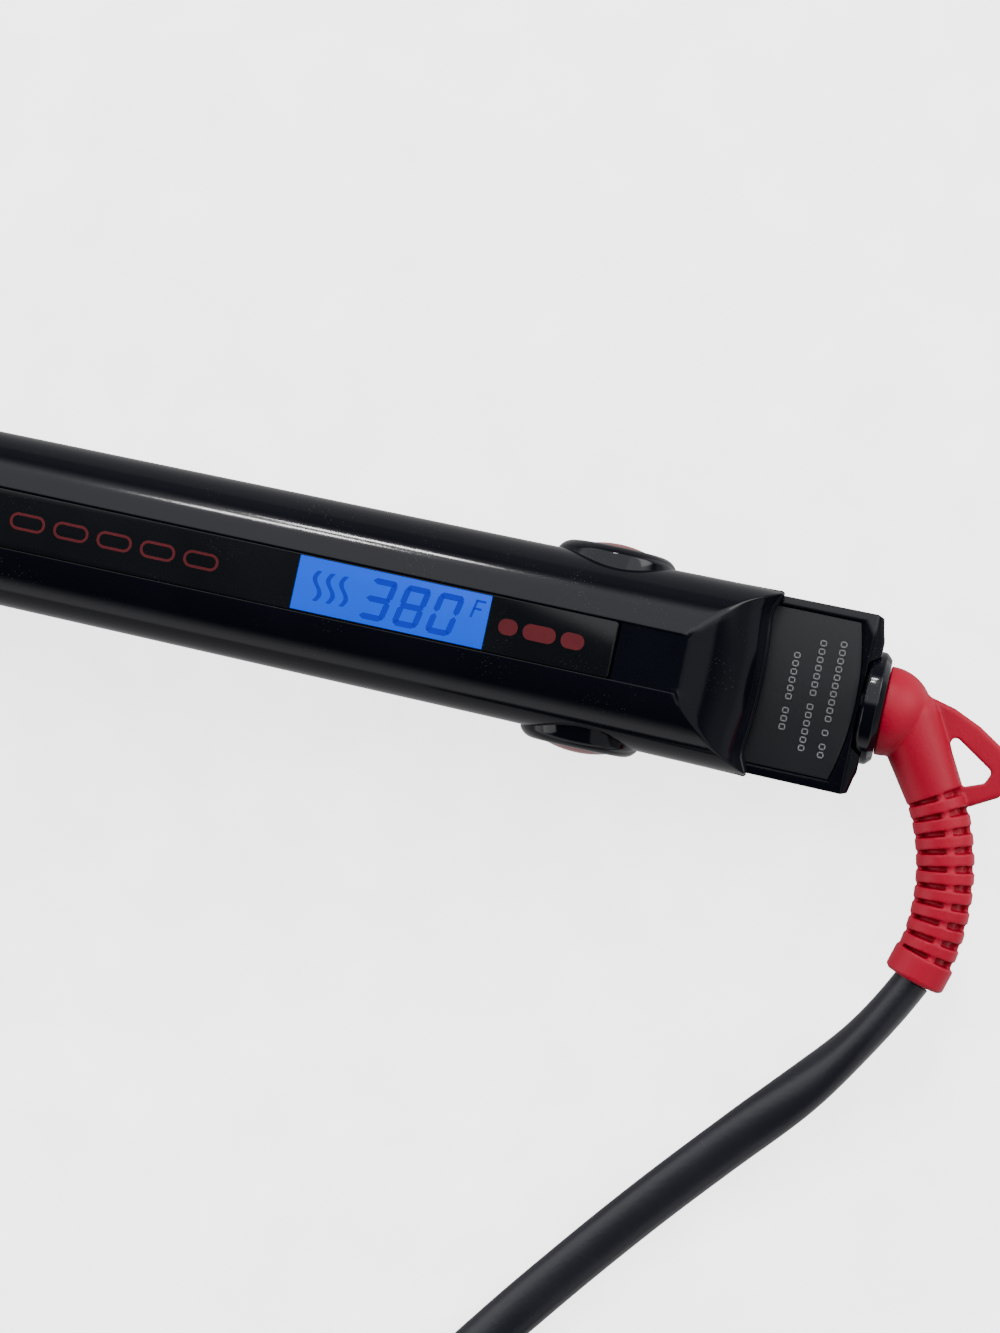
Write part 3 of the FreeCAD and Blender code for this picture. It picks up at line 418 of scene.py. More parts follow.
def half_width(x):
    """Half the upper arm's width along it."""
    return width_at(x, 15.8, 17.2, 18.0, HOOD_REAR)


def lower_half_width(x):
    """Half the lower arm's width along it."""
    return width_at(x, 15.6, 17.0, 17.4, TAIL_REAR)


def arc_through(a, b, c):
    """Centre and radius of the circle through three points."""
    (ax, ay), (bx, by), (cx, cy) = a, b, c
    d = 2 * (ax * (by - cy) + bx * (cy - ay) + cx * (ay - by))
    a2, b2, c2 = ax * ax + ay * ay, bx * bx + by * by, cx * cx + cy * cy
    ux = (a2 * (by - cy) + b2 * (cy - ay) + c2 * (ay - by)) / d
    uy = (a2 * (cx - bx) + b2 * (ax - cx) + c2 * (bx - ax)) / d
    return ux, uy, math.hypot(ax - ux, ay - uy)


HOOD_START = 14.8
HOOD_ARC = arc_through((HOOD_START, ARM_DEPTH), (24.2, 13.9), (HOOD_REAR + 0.6, 6.0))


def hood_height(x):
    """Height of the hood's sloping facet along the arm."""
    if x <= HOOD_START:
        return ARM_DEPTH
    ux, uz, radius = HOOD_ARC
    return uz + math.sqrt(max(0.01, radius**2 - (x - ux) ** 2))


def smooth_min(a, b, reach):
    """The lower of two values, with the corner between them rounded."""
    near = max(reach - abs(a - b), 0) / reach
    return min(a, b) - near * near * reach / 4


def hood_low(x):
    """The upper arm's lower edge: flat ahead of the hinge, and rising behind it to clear the tail."""
    return GAP + max(0.0, x) * math.tan(OPEN + math.radians(0.8))


def rear_line(y):
    """The hood's rear rim in plan: bowed out in the middle, with ears at the sides."""
    bow = HOOD_REAR - 0.9 * min(1.0, abs(y) / 13.6) ** 2
    return bow + 1.5 * blend_in(13.4, 17.6, abs(y))


def stations(start, end, step, extra=()):
    count = max(1, round((end - start) / step))
    return sorted({round(start + (end - start) * i / count, 4) for i in range(count + 1)} | set(extra))


LIP = 0.25
BOTTOM_ROUND = 0.35
RIM_ROUND = 0.9


def upper_section(x, inset):
    """Across the upper arm: from the right lower edge over the back to the left one."""
    full = half_width(x) - SHOULDER
    radius = full - inset
    level = ARM_DEPTH - math.sqrt(full**2 - (FLAT_HALF - SHOULDER) ** 2)
    low = hood_low(x)
    ridge = 99.0
    if x > HOOD_START:
        ux, uz, bow = HOOD_ARC
        ridge = hood_height(x) - inset * bow / (hood_height(x) - uz)
    flat = ARM_DEPTH - inset

    def top(y):
        rise = radius**2 - max(0, y - SHOULDER) ** 2
        lip = flat - LIP * (1 - blend_in(5.36, 5.52, y)) * (inset == 0)
        value = smooth_min(level + math.sqrt(max(0, rise)), lip, 0.1)
        return max(smooth_min(value, ridge, 0.5), low)

    crest = min(ridge, flat) - level
    turn_y = SHOULDER + math.sqrt(max(0.01, radius**2 - crest**2))
    half = half_width(x) - inset
    r = BOTTOM_ROUND if inset == 0 else 0.0
    side = [(half - r, low), (half - 0.3 * r, low + 0.3 * r)]
    side += [(half, low + r + max(0, level - low - r) * i / 5) for i in range(5)]
    start = math.acos(min(1, (turn_y + 0.7 - SHOULDER) / radius))
    places = [SHOULDER + radius * math.cos(start * i / 18) for i in range(18)]
    places += [turn_y + 0.7 - 1.4 * i / 12 for i in range(12)]
    places += [(turn_y - 0.7) * (1 - i / 8) for i in range(9)]
    right = side + [(y, top(y)) for y in places]
    return right + [(-y, z) for y, z in reversed(right[:-1])]


def place_section(x, inset=0.0, shift=0.0):
    """A section of the upper arm in space, bowed near the rear rim."""
    stretch = blend_in(HOOD_START, HOOD_REAR, x)
    return [(x + shift + (rear_line(y) - HOOD_REAR) * stretch, y, z) for y, z in upper_section(x, inset)]


def upper_skin():
    """The upper arm's closed shell: outer skin, rounded rear rim, inner skin, and the edges between them."""
    inner_front = HANDLE_FRONT + WALL
    places = [inner_front, *stations(-145, 0, 5), *stations(1.5, HOOD_START, 1.9)]
    rear = HOOD_REAR - RIM_ROUND
    places += stations(HOOD_START + 0.5, rear, 0.8)
    nose = [place_section(HANDLE_FRONT, *step) for step in ((0.45, 0.0), (0.13, 0.13), (0, 0.45))]
    outer = [place_section(x) for x in places]
    turns = [math.radians(angle) for angle in (22, 45, 68, 88)]
    rim = [place_section(rear, RIM_ROUND * (1 - math.cos(a)), RIM_ROUND * math.sin(a)) for a in turns]
    rim.append(place_section(rear, WALL, RIM_ROUND))
    inner = [place_section(x, WALL) for x in reversed(places)]
    bm = bmesh.new()
    rows = skin(bm, nose + outer + rim + inner, False)
    first = len(nose)
    last = len(rows) - 1
    for i in range(len(outer) - 1):
        a, b = rows[first + i], rows[first + i + 1]
        c, d = rows[last - i - 1], rows[last - i]
        for end in (0, -1):
            bm.faces.new((a[end], b[end], c[end], d[end]))
    lip = rows[first + len(outer) - 1 : first + len(outer) + len(rim) + 1]
    for end in (0, -1):
        bm.faces.new([row[end] for row in lip])
    front = rows[: first + 1]
    right, left = [row[0] for row in front], [row[-1] for row in reversed(front)]
    bm.faces.new([*right, rows[last][0], rows[last][-1], *left])
    bm.faces.new(rows[0])
    bm.faces.new(rows[last])
    bmesh.ops.remove_doubles(bm, verts=bm.verts, dist=1e-4)
    bmesh.ops.dissolve_degenerate(bm, dist=1e-4, edges=bm.edges)
    bmesh.ops.recalc_face_normals(bm, faces=bm.faces)
    return bm


def window_cutters():
    """The round windows in both side walls that the hinge caps fill."""
    return [drum(11.8, (13.4, 30)), drum(11.8, (-30, -13.4))]


# Where each button sits along the handle.
BUTTONS = {"minus_button": -127.0, "plus_button": -135.5, "power_button": -144.0}


def button_cutters():
    return [rounded_box((x - 2.9, x + 2.9), (-3.9, 3.9), (12.5, 30), 0.9, 0) for x in BUTTONS.values()]


def knuckles(name, body, bore, walls, stand):
    """Two knuckles that ride on the hinge pin, each with a post to its own arm's shell."""
    ears = []
    for side in (-1, 1):
        low, high = sorted((side * walls[0], side * walls[1]))
        ears.append(lathe(pipe(bore, KNUCKLE_RADIUS, low, high), ALONG_Y, 48))
        ears.append(rounded_box((-5, 5), (low, high), stand, 0.5, 0.2))
    finish_piece(name, joined(*ears), body, "black_gloss", mat=SATIN)


def upper_housing():
    bm = upper_skin()
    recess = block((STRIP_FRONT, STRIP_REAR), (-STRIP_HALF, STRIP_HALF), (16.0, 30))
    bm = carve(bm, [recess, *button_cutters(), *window_cutters()])
    finish_piece("upper_housing_shell", bm, "upper_arm", "black_gloss", ["upper_housing"], sharp=30)
    knuckles("upper_knuckles", "upper_arm", 2.55, (7.6, 11.0), (6, 15.6))


def corner_limit(x):
    """Half the tail's width where its rear corners are cut off."""
    if x < 50.6:
        return 30.0
    if x < 52.0:
        return 17.5 - 0.6 * (x - 50.6) / 1.4
    return 16.9 - 4.9 * (x - 52.0)


def deck_height(x):
    """The tail's top, which falls away at its rear edge."""
    return -GAP - max(0.0, x - 50.7) * 0.89


def lower_section(x, inset=0.0, top=None):
    """Round the lower arm, as a closed ring."""
    full = lower_half_width(x) - SHOULDER
    radius = full - inset
    level = LOWER_DEPTH - math.sqrt(full**2 - (FLAT_HALF - SHOULDER) ** 2)
    half = min(lower_half_width(x), corner_limit(x)) - inset
    deck = deck_height(x) - inset if top is None else top
    r = 0.4
    right = [(half - r, deck), (half - 0.3 * r, deck - 0.3 * r)]
    right += [(half, deck - r + (r - deck - level) * i / 5) for i in range(5)]
    bottom = math.asin(min(1, (LOWER_DEPTH - inset - level) / radius))
    for i in range(21):
        angle = bottom * i / 20
        right.append((min(half, SHOULDER + radius * math.cos(angle)), -level - radius * math.sin(angle)))
    right.append((0.0, -LOWER_DEPTH + inset))
    left = [(-y, z) for y, z in reversed(right[:-1])]
    edge = half - r
    across = [(-edge + 2 * edge * i / 8, deck) for i in range(1, 8)]
    return right + left + across


def ring_at(x, section):
    return [(x, y, z) for y, z in section]


def capped(rings):
    """A closed solid through closed rings."""
    bm = bmesh.new()
    rows = skin(bm, rings, True)
    bm.faces.new(rows[0])
    bm.faces.new(rows[-1])
    bmesh.ops.recalc_face_normals(bm, faces=bm.faces)
    return bm


def lower_housing():
    """The lower arm's shell: an open trough for the handle and a closed box for the tail."""
    deck_start = 14.0
    rings = [
        ring_at(HANDLE_FRONT, lower_section(HANDLE_FRONT, 0.45)),
        ring_at(HANDLE_FRONT + 0.13, lower_section(HANDLE_FRONT, 0.13)),
        ring_at(HANDLE_FRONT + 0.45, lower_section(HANDLE_FRONT)),
    ]
    for x in stations(-145, 47.5, 5.5) + [50.6, 50.75, 51.3, 52.0, 52.6]:
        rings.append(ring_at(x, lower_section(x)))
    rings.append(ring_at(52.88, lower_section(52.75, 0.12)))
    rings.append(ring_at(TAIL_REAR, lower_section(52.8, 0.4)))
    bm = capped(rings)
    hollow = stations(HANDLE_FRONT + WALL, deck_start, 5.5)
    trough = capped([ring_at(x, lower_section(x, WALL, 3.0)) for x in hollow])
    nest = drum(11.6, (50.8, 70), "X", (0, 0, SWIVEL_DROP))
    pocket = capped([
        [(x, y, z) for x, y in label_outline(inset)]
        for z, inset in ((-1.3, 0.0), (-0.65, 0.0), (-0.1, -0.45), (4.0, -0.45))
    ])
    sinks = [drum(2.2, (-21, -18.5), "Z", (x, 0, 0), 48) for x in (-132, -78, -40)]
    bm = carve(bm, [trough, nest, pocket, *sinks, *window_cutters()])
    finish_piece("lower_housing_shell", bm, "lower_arm", "black_gloss", ["lower_housing"], sharp=30)
    knuckles("lower_knuckles", "lower_arm", 2.5, (11.4, 13.9), (-15.3, -6))


def label_outline(inset):
    """The tail's plate: straight sides and a bowed rear edge."""
    wide = 15.4 - inset
    across = [-1 + i / 6 for i in range(13)]
    rear = [(48.1 - inset + 2.1 * (1 - t * t), wide * t) for t in across]
    return [(22 + inset, -wide), *rear, (22 + inset, wide)]


def label_plate():
    """The plate in the tail, with plain marks in three rows where print would be."""
    plate = slab(label_outline(0.15), -1.3, -0.6, 0.2)
    finish_piece("tail_label_plate", plate, "lower_arm", "label_black", ["label_plate"])
    marks = []
    pitch, gap = 1.6, 1.1
    for x, words in ((36.8, (3, 6)), (41.2, (6, 7)), (45.0, (2, 1, 10))):
        y = -0.5 * (sum(words) * pitch + gap * (len(words) - 1))
        for count in words:
            for i in range(count):
                marks += mark(x, y + pitch * i)
            y += count * pitch + gap
    finish_piece("tail_label_marks", joined(*marks), "lower_arm", "label_black", mat=PALE_PRINT)


def mark(x, y):
    """A small closed box outline, in place of a letter."""
    wide, tall, stroke = 1.15, 1.25, 0.22
    sides = [
        ((x, x + tall), (y, y + stroke)), ((x, x + tall), (y + wide - stroke, y + wide)),
        ((x, x + stroke), (y, y + wide)), ((x + tall - stroke, x + tall), (y, y + wide)),
    ]
    return [block(*side, (-0.62, -0.57)) for side in sides]


# ---------------- strip, display, buttons
def display_strip():
    """The smoked strip let into the upper arm, with a seat for the display and holes for the buttons."""
    strip = rounded_box((STRIP_FRONT + 0.1, STRIP_REAR - 0.5), (-STRIP_HALF + 0.12, STRIP_HALF - 0.12),
                        (16.0, STRIP_TOP), 0.7, 0.18)
    seat = block(DISPLAY, (-DISPLAY_HALF, DISPLAY_HALF), (STRIP_TOP - 0.9, 20))
    strip = carve(strip, [seat, *button_cutters()])
    finish_piece("smoked_display_strip", strip, "upper_arm", "smoked_strip", ["display_strip"], sharp=25)


SEGMENTS = {"3": "abcdg", "8": "abcdefg", "0": "abcdef"}
DIGIT_WIDE = 4.8
DIGIT_TALL = 7.9
STROKE = 1.1
SLANT = 0.2


def digit_bars(figure, left, base):
    """Seven-segment bars of one digit, lettered a to g from the top and round, as outlines."""
    w, t, s = DIGIT_WIDE, DIGIT_TALL, STROKE
    inset = 0.12

    def flat(y):
        return [(inset, y), (s * 0.6, y + s / 2), (w - s * 0.6, y + s / 2),
                (w - inset, y), (w - s * 0.9, y - s / 2), (s * 0.9, y - s / 2)]

    def tall(x, low, high):
        return [(x, low + inset), (x + s / 2, low + s * 0.6), (x + s / 2, high - s * 0.6), (x, high - inset),
                (x - s / 2, high - s * 0.6), (x - s / 2, low + s * 0.6)]

    middle = t / 2
    shapes = {
        "a": flat(t - s / 2), "g": flat(middle), "d": flat(s / 2),
        "b": tall(w - s / 2, middle, t - s / 4), "c": tall(w - s / 2, s / 4, middle),
        "f": tall(s / 2, middle, t - s / 4), "e": tall(s / 2, s / 4, middle),
    }
    return [[(left + x + SLANT * y, base + y) for x, y in shapes[letter]] for letter in SEGMENTS[figure]]


def display():
    """The lit display, with three slanted digits, a unit letter and a plain heat sign."""
    panel = rounded_box((DISPLAY[0] + 0.05, DISPLAY[1] - 0.05), (-DISPLAY_HALF + 0.05, DISPLAY_HALF - 0.05),
                        (STRIP_TOP - 0.9, STRIP_TOP - 0.08), 0.15, 0.05)
    finish_piece("display_panel", panel, "upper_arm", "lcd", ["lcd_panel"])
    low, high = STRIP_TOP - 0.09, STRIP_TOP - 0.05
    outlines = []
    for i, figure in enumerate("380"):
        outlines += digit_bars(figure, DISPLAY[0] + 12.6 + i * 6.3, -4.1)
    unit_x = DISPLAY[0] + 32.9
    for shape in (
        [(0, 0), (0.42, 0), (1.1, 3.4), (0.68, 3.4)],
        [(0.68, 3.4), (0.62, 3.0), (2.5, 3.0), (2.6, 3.4)],
        [(0.4, 1.9), (0.34, 1.5), (1.9, 1.5), (2.0, 1.9)],
    ):
        outlines.append([(unit_x + x, 0.4 + y) for x, y in shape])
    for i in range(3):
        wave = []
        for k in range(13):
            y = -2.8 + 5.6 * k / 12
            wave.append((DISPLAY[0] + 4.2 + 2.5 * i + 0.7 * math.sin(2 * math.pi * k / 12), y))
        outlines.append([(x - 0.42, y) for x, y in wave] + [(x + 0.42, y) for x, y in reversed(wave)])
    bars = joined(*[slab(outline, low, high, 0) for outline in outlines])
    finish_piece("display_segments", bars, "upper_arm", "lcd", mat=SEGMENT)


def strip_prints():
    """Plain red ornaments on the strip: a chain of capsule outlines, and solid capsules by the display."""
    low, high = STRIP_TOP - 0.01, STRIP_TOP + 0.02
    shapes = []
    for i in range(5):
        x = -112.0 + 8.2 * i
        outside = rounded_box((x, x + 6.6), (-1.6, 1.6), (low, high), 1.5, 0)
        inside = rounded_box((x + 0.5, x + 6.1), (-1.1, 1.1), (low - 1, high + 1), 1.0, 0)
        shapes.append(carve(outside, [inside]))
    for x, length in ((-19.6, 3.6), (-15.0, 6.2), (-7.8, 4.4)):
        shapes.append(rounded_box((x, x + length), (-1.5, 1.5), (low, high), 1.4, 0))
    finish_piece("strip_ornaments", joined(*shapes), "upper_arm", "red_gloss", mat=RED_PRINT)


def buttons():
    """Three push buttons with their signs: a bar for minus, a cross for plus, and a ring and bar for power."""
    for name, x in BUTTONS.items():
        cap = rounded_box((x - 2.6, x + 2.6), (-3.6, 3.6), (14.2, 18.1), 0.8, 0.45)
        stem = drum(1.5, (12.7, 14.6), "Z", (x, 0, 0), 32)
        red = name == "power_button"
        finish_piece(f"{name}_cap", joined(cap, stem), name, "red_gloss" if red else "black_satin", [name])
        low, high = 18.08, 18.13
        signs = []
        if red:
            signs.append(lathe(pipe(1.25, 1.55, low, high), Matrix.Translation((x, 0, 0)), 48))
            signs.append(block((x - 0.15, x + 0.15), (0.5, 2.0), (low, high)))
        else:
            signs.append(block((x - 0.2, x + 0.2), (-1.4, 1.4), (low, high)))
            if name == "plus_button":
                signs.append(block((x - 1.4, x + 1.4), (-0.2, 0.2), (low, high)))
        finish_piece(f"{name}_sign", joined(*signs), name, "black_satin", mat=PALE_PRINT)


# ---------------- hinge
def hinge_caps():
    """Round caps in the side walls: a black ring that curves over towards a red dome."""
    for name, side in (("left", 1), ("right", -1)):
        turn = Matrix.Rotation(-side * math.pi / 2, 4, "X")
        ux, uz, bow = arc_through((CAP_RADIUS, 17.7), (10.7, 18.7), (7.4, 19.2))
        curve = []
        for i in range(13):
            radius = CAP_RADIUS + (7.4 - CAP_RADIUS) * i / 12
            curve.append((radius, uz + math.sqrt(max(0, bow**2 - (radius - ux) ** 2))))
        edge = [(0, 14.0), (CAP_RADIUS - 0.2, 14.0), (CAP_RADIUS, 14.2)]
        ring = [*edge, *curve, (7.3, 19.1), (7.3, 17.8), (0, 17.8)]
        finish_piece(f"hinge_cap_ring_{name}", lathe(ring, turn, 128), "lower_arm", "black_gloss",
                     [f"hinge_cap_{name}"])
        dome = [(0, 17.81), (7.2, 17.81), (7.2, 19.0)]
        rise, crown = 1.3, 20.45
        ball = (DOME_RADIUS**2 + rise**2) / (2 * rise)
        for k in range(13):
            radius = DOME_RADIUS * (1 - k / 12)
            dome.append((radius, crown - ball + math.sqrt(ball**2 - radius**2)))
        finish_piece(f"hinge_dome_{name}", lathe(dome, turn), "lower_arm", "red_gloss", [f"hinge_insert_{name}"])


def arm_spring():
    """The compression spring between the arms, built as one fixed coil."""
    turns, steps = 6, 24
    seat_x, coil_radius, wire_radius = -24, 2.7, 0.5
    low, high = -8.45, 3.05
    points = []
    for i in range(turns * steps + 1):
        t = i / (turns * steps)
        a = 2 * math.pi * turns * t
        across = seat_x + coil_radius * math.cos(a), coil_radius * math.sin(a)
        points.append(Vector((*across, low + (high - low) * t)))
    bm = plain_tube(points, wire_radius, 10)
    piece = finish_piece("arm_spring_wire", bm, "lower_arm", "steel", ["arm_spring"], sharp=60)
    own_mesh(piece)


# ---------------- tubes along a path
def tube_mesh(points, half_sizes, sides, twist):
    """A closed tube along points; its half width and half height, and its twist, vary with distance."""
    bm = bmesh.new()
    rings = []
    travelled = 0.0
    across = None
    for i, point in enumerate(points):
        ahead = points[min(i + 1, len(points) - 1)] - points[max(i - 1, 0)]
        ahead.normalize()
        if across is None:
            across = Vector((0, 0, 1)).cross(ahead)
            if across.length < 1e-3:
                across = Vector((0, 1, 0)).cross(ahead)
        across = (across - ahead * across.dot(ahead)).normalized()
        up = ahead.cross(across)
        if i:
            travelled += (point - points[i - 1]).length
        wide, tall = half_sizes(travelled)
        turn = twist(travelled)
        c, s = math.cos(turn), math.sin(turn)
        ring = []
        for k in range(sides):
            a = 2 * math.pi * k / sides
            u, v = wide * math.cos(a), tall * math.sin(a)
            ring.append(point + across * (u * c - v * s) + up * (u * s + v * c))
        rings.append(ring)
    rows = skin(bm, rings, True)
    bm.faces.new(list(reversed(rows[0])))
    bm.faces.new(rows[-1])
    return bm


def plain_tube(points, radius, sides):
    return tube_mesh(points, lambda s: (radius, radius), sides, lambda s: 0.0)


def arc_points(start, middle, end, count):
    """Points on the arc through three places in a plane of constant z."""
    ux, uy, radius = arc_through(start[:2], middle[:2], end[:2])
    angles = [math.atan2(p[1] - uy, p[0] - ux) for p in (start, middle, end)]
    for i in (1, 2):
        while angles[i] - angles[i - 1] > math.pi:
            angles[i] -= 2 * math.pi
        while angles[i] - angles[i - 1] < -math.pi:
            angles[i] += 2 * math.pi
    return [
        Vector((ux + radius * math.cos(a), uy + radius * math.sin(a), start[2]))
        for a in (angles[0] + (angles[2] - angles[0]) * i / (count - 1) for i in range(count))
    ]


# ---------------- barrel and clamp
BARREL_TURN = Matrix.Translation((0, 0, BARREL_DROP)) @ Matrix.Rotation(-math.pi / 2, 4, "Y")


def barrel():
    """Turned pieces of the lower arm's front; heights run forward from the hinge."""
    bore, radius, rear, front = 11.0, BARREL_RADIUS, BARREL_REAR, BARREL_FRONT
    tube = fillet([(bore, rear), (radius, rear), (radius, front), (bore, front)], 0.3, 3) + [(bore, rear)]
    finish_piece("barrel_tube_skin", lathe(tube, BARREL_TURN, 128), "lower_arm", "heated_alu", ["barrel_tube"])
    collar = [(radius, rear), (13.7, rear), (13.7, 153), (13.1, 154.5), (radius, 154.5)]
    collar = fillet(collar, 0.35, 3) + [(radius, rear)]
    finish_piece("barrel_collar_ring", lathe(collar, BARREL_TURN, 128), "lower_arm", "black_satin",
                 ["barrel_collar"])
    tip = [(0, 254), (bore, 254), (bore, front), (radius, front)]
    tip += [(radius, 268), (10.6, 272.6), (6, TIP_FRONT), (0, TIP_FRONT)]
    finish_piece("barrel_cool_tip", lathe(fillet(tip, 2.4, 6), BARREL_TURN, 128), "lower_arm", "black_satin",
                 ["barrel_tip"])


def sector_mesh(inner, outer, span, half_angle, edge, steps=40, lengths=24):
    """A part of a tube over the closed barrel, with rounded edges."""
    bm = bmesh.new()
    lean = math.radians(half_angle)
    angles = [-lean + 2 * lean * i / steps for i in range(steps + 1)]
    rings = []
    for k in range(lengths + 1):
        x = span[0] + (span[1] - span[0]) * k / lengths
        ring = [(x, outer * math.sin(a), BARREL_DROP + outer * math.cos(a)) for a in angles]
        ring += [(x, inner * math.sin(a), BARREL_DROP + inner * math.cos(a)) for a in reversed(angles)]
        rings.append(ring)
    rows = skin(bm, rings, True)
    for row, flip in ((rows[0], False), (rows[-1], True)):
        for i in range(steps):
            quad = [row[i], row[i + 1], row[2 * steps - i], row[2 * steps + 1 - i]]
            bm.faces.new(quad if flip else list(reversed(quad)))
    bmesh.ops.recalc_face_normals(bm, faces=bm.faces)
    sharp = [e for e in bm.edges if len(e.link_faces) == 2 and e.calc_face_angle(0) > math.radians(40)]
    round_off(bm, sharp, edge)
    return bm


def clamp():
    """The upper arm's front: a curved heated plate over the barrel, its cover, and its cool tip."""
    plate = sector_mesh(12.9, 14.1, (-BARREL_FRONT, -156), 68, 0.25)
    finish_piece("clamp_plate_skin", plate, "upper_arm", "heated_alu", ["clamp_plate"])
    cover = sector_mesh(14.7, 16.6, (-BARREL_FRONT, -BARREL_REAR), 76, 0.5)
    finish_piece("clamp_outer_cover", cover, "upper_arm", "black_gloss", ["clamp_cover"])
    tip = sector_mesh(12.9, 16.6, (-TIP_FRONT, -BARREL_FRONT), 76, 1.2)
    finish_piece("clamp_cool_tip", tip, "upper_arm", "black_satin", ["clamp_tip"])


# ---------------- swivel collar and strain relief
SWIVEL_TURN = Matrix.Translation((0, 0, SWIVEL_DROP)) @ ALONG_X


def swivel_collar():
    """The dark disc behind the tail that the cord's moulding turns on."""
    profile = fillet([(0, 51.2), (11.0, 51.2), (11.0, 54.0), (9.8, COLLAR_REAR), (0, COLLAR_REAR)], 0.8, 5)
    finish_piece("swivel_collar_disc", lathe(profile, SWIVEL_TURN), "cord_swivel", "black_gloss",
                 ["swivel_collar"])


BALL_CENTRE = 56.0
BALL_RADIUS = 8.65
KNEE = Vector((60.4, -0.9, SWIVEL_DROP))
KNEE_RADIUS = 6.35
ELBOW_END = Vector((68.3, -13.8, SWIVEL_DROP))
RIBS_MIDDLE = Vector((73.4, -28.6, SWIVEL_DROP))
RIBS_END = Vector((72.9, -44.6, SWIVEL_DROP))
RELIEF_END = Vector((71.6, -49.2, SWIVEL_DROP))
LOOP_OUTER = [
    (59.0, 5.0), (63.4, 4.5), (68.6, 3.2), (74.0, 0.8), (78.8, -2.3),
    (80.9, -6.4), (80.5, -11.5), (74.5, -14.9), (67.0, -11.0),
]
LOOP_HOLE = [(67.7, -0.5), (78.0, -7.2), (77.0, -9.6), (72.7, -11.3)]
RIB_COUNT = 9
RIB_RADIUS = 5.55
CORE_RADIUS = 3.6
RIB_LENGTH = 2.2
WEB_TURN = math.radians(11)
WEB_DEPTH = 1.0
WEB_RADIUS = 0.8
LOOP_HALF_THICK = 1.7


def disc(radius, span, centre, way):
    """A cylinder round a direction, used as raw stock."""
    turn = Matrix.Translation(centre) @ way.to_track_quat("Z", "Y").to_matrix().to_4x4()
    return lathe(rod(radius, *span), turn, 64)


def strain_relief():
    """Elbow, hanging loop and ribbed sleeve as one moulding: simple solids melted into one smooth skin."""
    start = COLLAR_REAR + 0.05
    dome = [(0, start), (BALL_RADIUS, start)]
    for i in range(17):
        angle = math.radians(90 * i / 16)
        dome.append((BALL_RADIUS * math.cos(angle), BALL_CENTRE + BALL_RADIUS * math.sin(angle)))
    ball = lathe(dome, SWIVEL_TURN)
    knee = bmesh.new()
    bmesh.ops.create_icosphere(knee, subdivisions=4, radius=KNEE_RADIUS, matrix=Matrix.Translation(KNEE))
    elbow_line = [KNEE.lerp(ELBOW_END, i / 10) for i in range(11)]
    length = (ELBOW_END - KNEE).length

    def elbow_size(s):
        return (KNEE_RADIUS + (RIB_RADIUS - KNEE_RADIUS) * s / length,) * 2

    line = arc_points(ELBOW_END, RIBS_MIDDLE, RIBS_END, 100)
    solids = [ball, knee, tube_mesh(elbow_line, elbow_size, 48, lambda s: 0.0)]
    solids.append(plain_tube(line, CORE_RADIUS, 40))
    for i in range(RIB_COUNT):
        at = (i + 0.66) / (RIB_COUNT + 0.35) * (len(line) - 1)
        k = min(int(at), len(line) - 2)
        here = line[k].lerp(line[k + 1], at - k)
        way = (line[k + 1] - line[k]).normalized()
        solids.append(disc(RIB_RADIUS, (-RIB_LENGTH / 2, RIB_LENGTH / 2), here, way))
    # Four narrow webs along the sleeve tie the ribs together.
    up = Vector((0, 0, 1))
    for quarter in range(4):
        lean = WEB_TURN + quarter * math.pi / 2
        path = []
        for k, point in enumerate(line):
            way = (line[min(k + 1, len(line) - 1)] - line[max(k - 1, 0)]).normalized()
            outwards = up * math.cos(lean) - way.cross(up) * math.sin(lean)
            path.append(point + outwards * (RIB_RADIUS - WEB_DEPTH))
        solids.append(plain_tube(path, WEB_RADIUS, 16))
    # The sleeve ends in a cuff with a stepped rim.
    way = (RELIEF_END - RIBS_END).normalized()
    reach = (RELIEF_END - RIBS_END).length
    solids.append(disc(5.95, (-0.2, reach - 0.4), RIBS_END, way))
    solids.append(disc(5.4, (-0.2, reach), RIBS_END, way))
    outer = slab(fillet(LOOP_OUTER, 1.6, 6, closed=True), SWIVEL_DROP - LOOP_HALF_THICK,
                 SWIVEL_DROP + LOOP_HALF_THICK, 0.8)
    hole = slab(fillet(LOOP_HOLE, 1.0, 6, closed=True), SWIVEL_DROP - 5, SWIVEL_DROP + 5, 0)
    solids.append(carve(outer, [hole]))
    whole = linked_object(joined(*solids))
    remesh = whole.modifiers.new("melt", "REMESH")
    remesh.mode = "VOXEL"
    remesh.voxel_size = 0.24
    smooth = whole.modifiers.new("soften", "SMOOTH")
    smooth.factor = 0.5
    smooth.iterations = 4
    bm = applied(whole)
    finish_piece("red_strain_relief", bm, "cord_swivel", "red_rubber", ["strain_relief"], sharp=70)


# ---------------- mains lead
# The route's points, in metres from the hinge: the corners of the CAD's own route.
LEAD_ROUTE = [
    (0.0716, -0.0492, -0.0086), (0.0676, -0.0578, -0.0088), (0.0570, -0.0734, -0.0109),
    (0.0439, -0.0888, -0.0136), (0.0294, -0.1064, -0.0157), (0.0140, -0.1264, -0.0160),
    (-0.0014, -0.1476, -0.0160), (-0.0250, -0.1815, -0.0160),
]
PLUG_ROUTE = [
    (0.0200, -0.2705, -0.0080), (0.0460, -0.2685, -0.0096), (0.0710, -0.2550, -0.0122),
    (0.0880, -0.2330, -0.0124), (0.0960, -0.2070, -0.0120),
]
COIL_CENTRE = (0.0200, -0.2145)
COIL_OUTER = 0.056
COIL_INNER = 0.032
POINTS_PER_TURN = 20
COIL_START = math.radians(143.7)
COIL_TURNS = 6 + 126.3 / 360
FLOOR_LEVEL = -0.0160


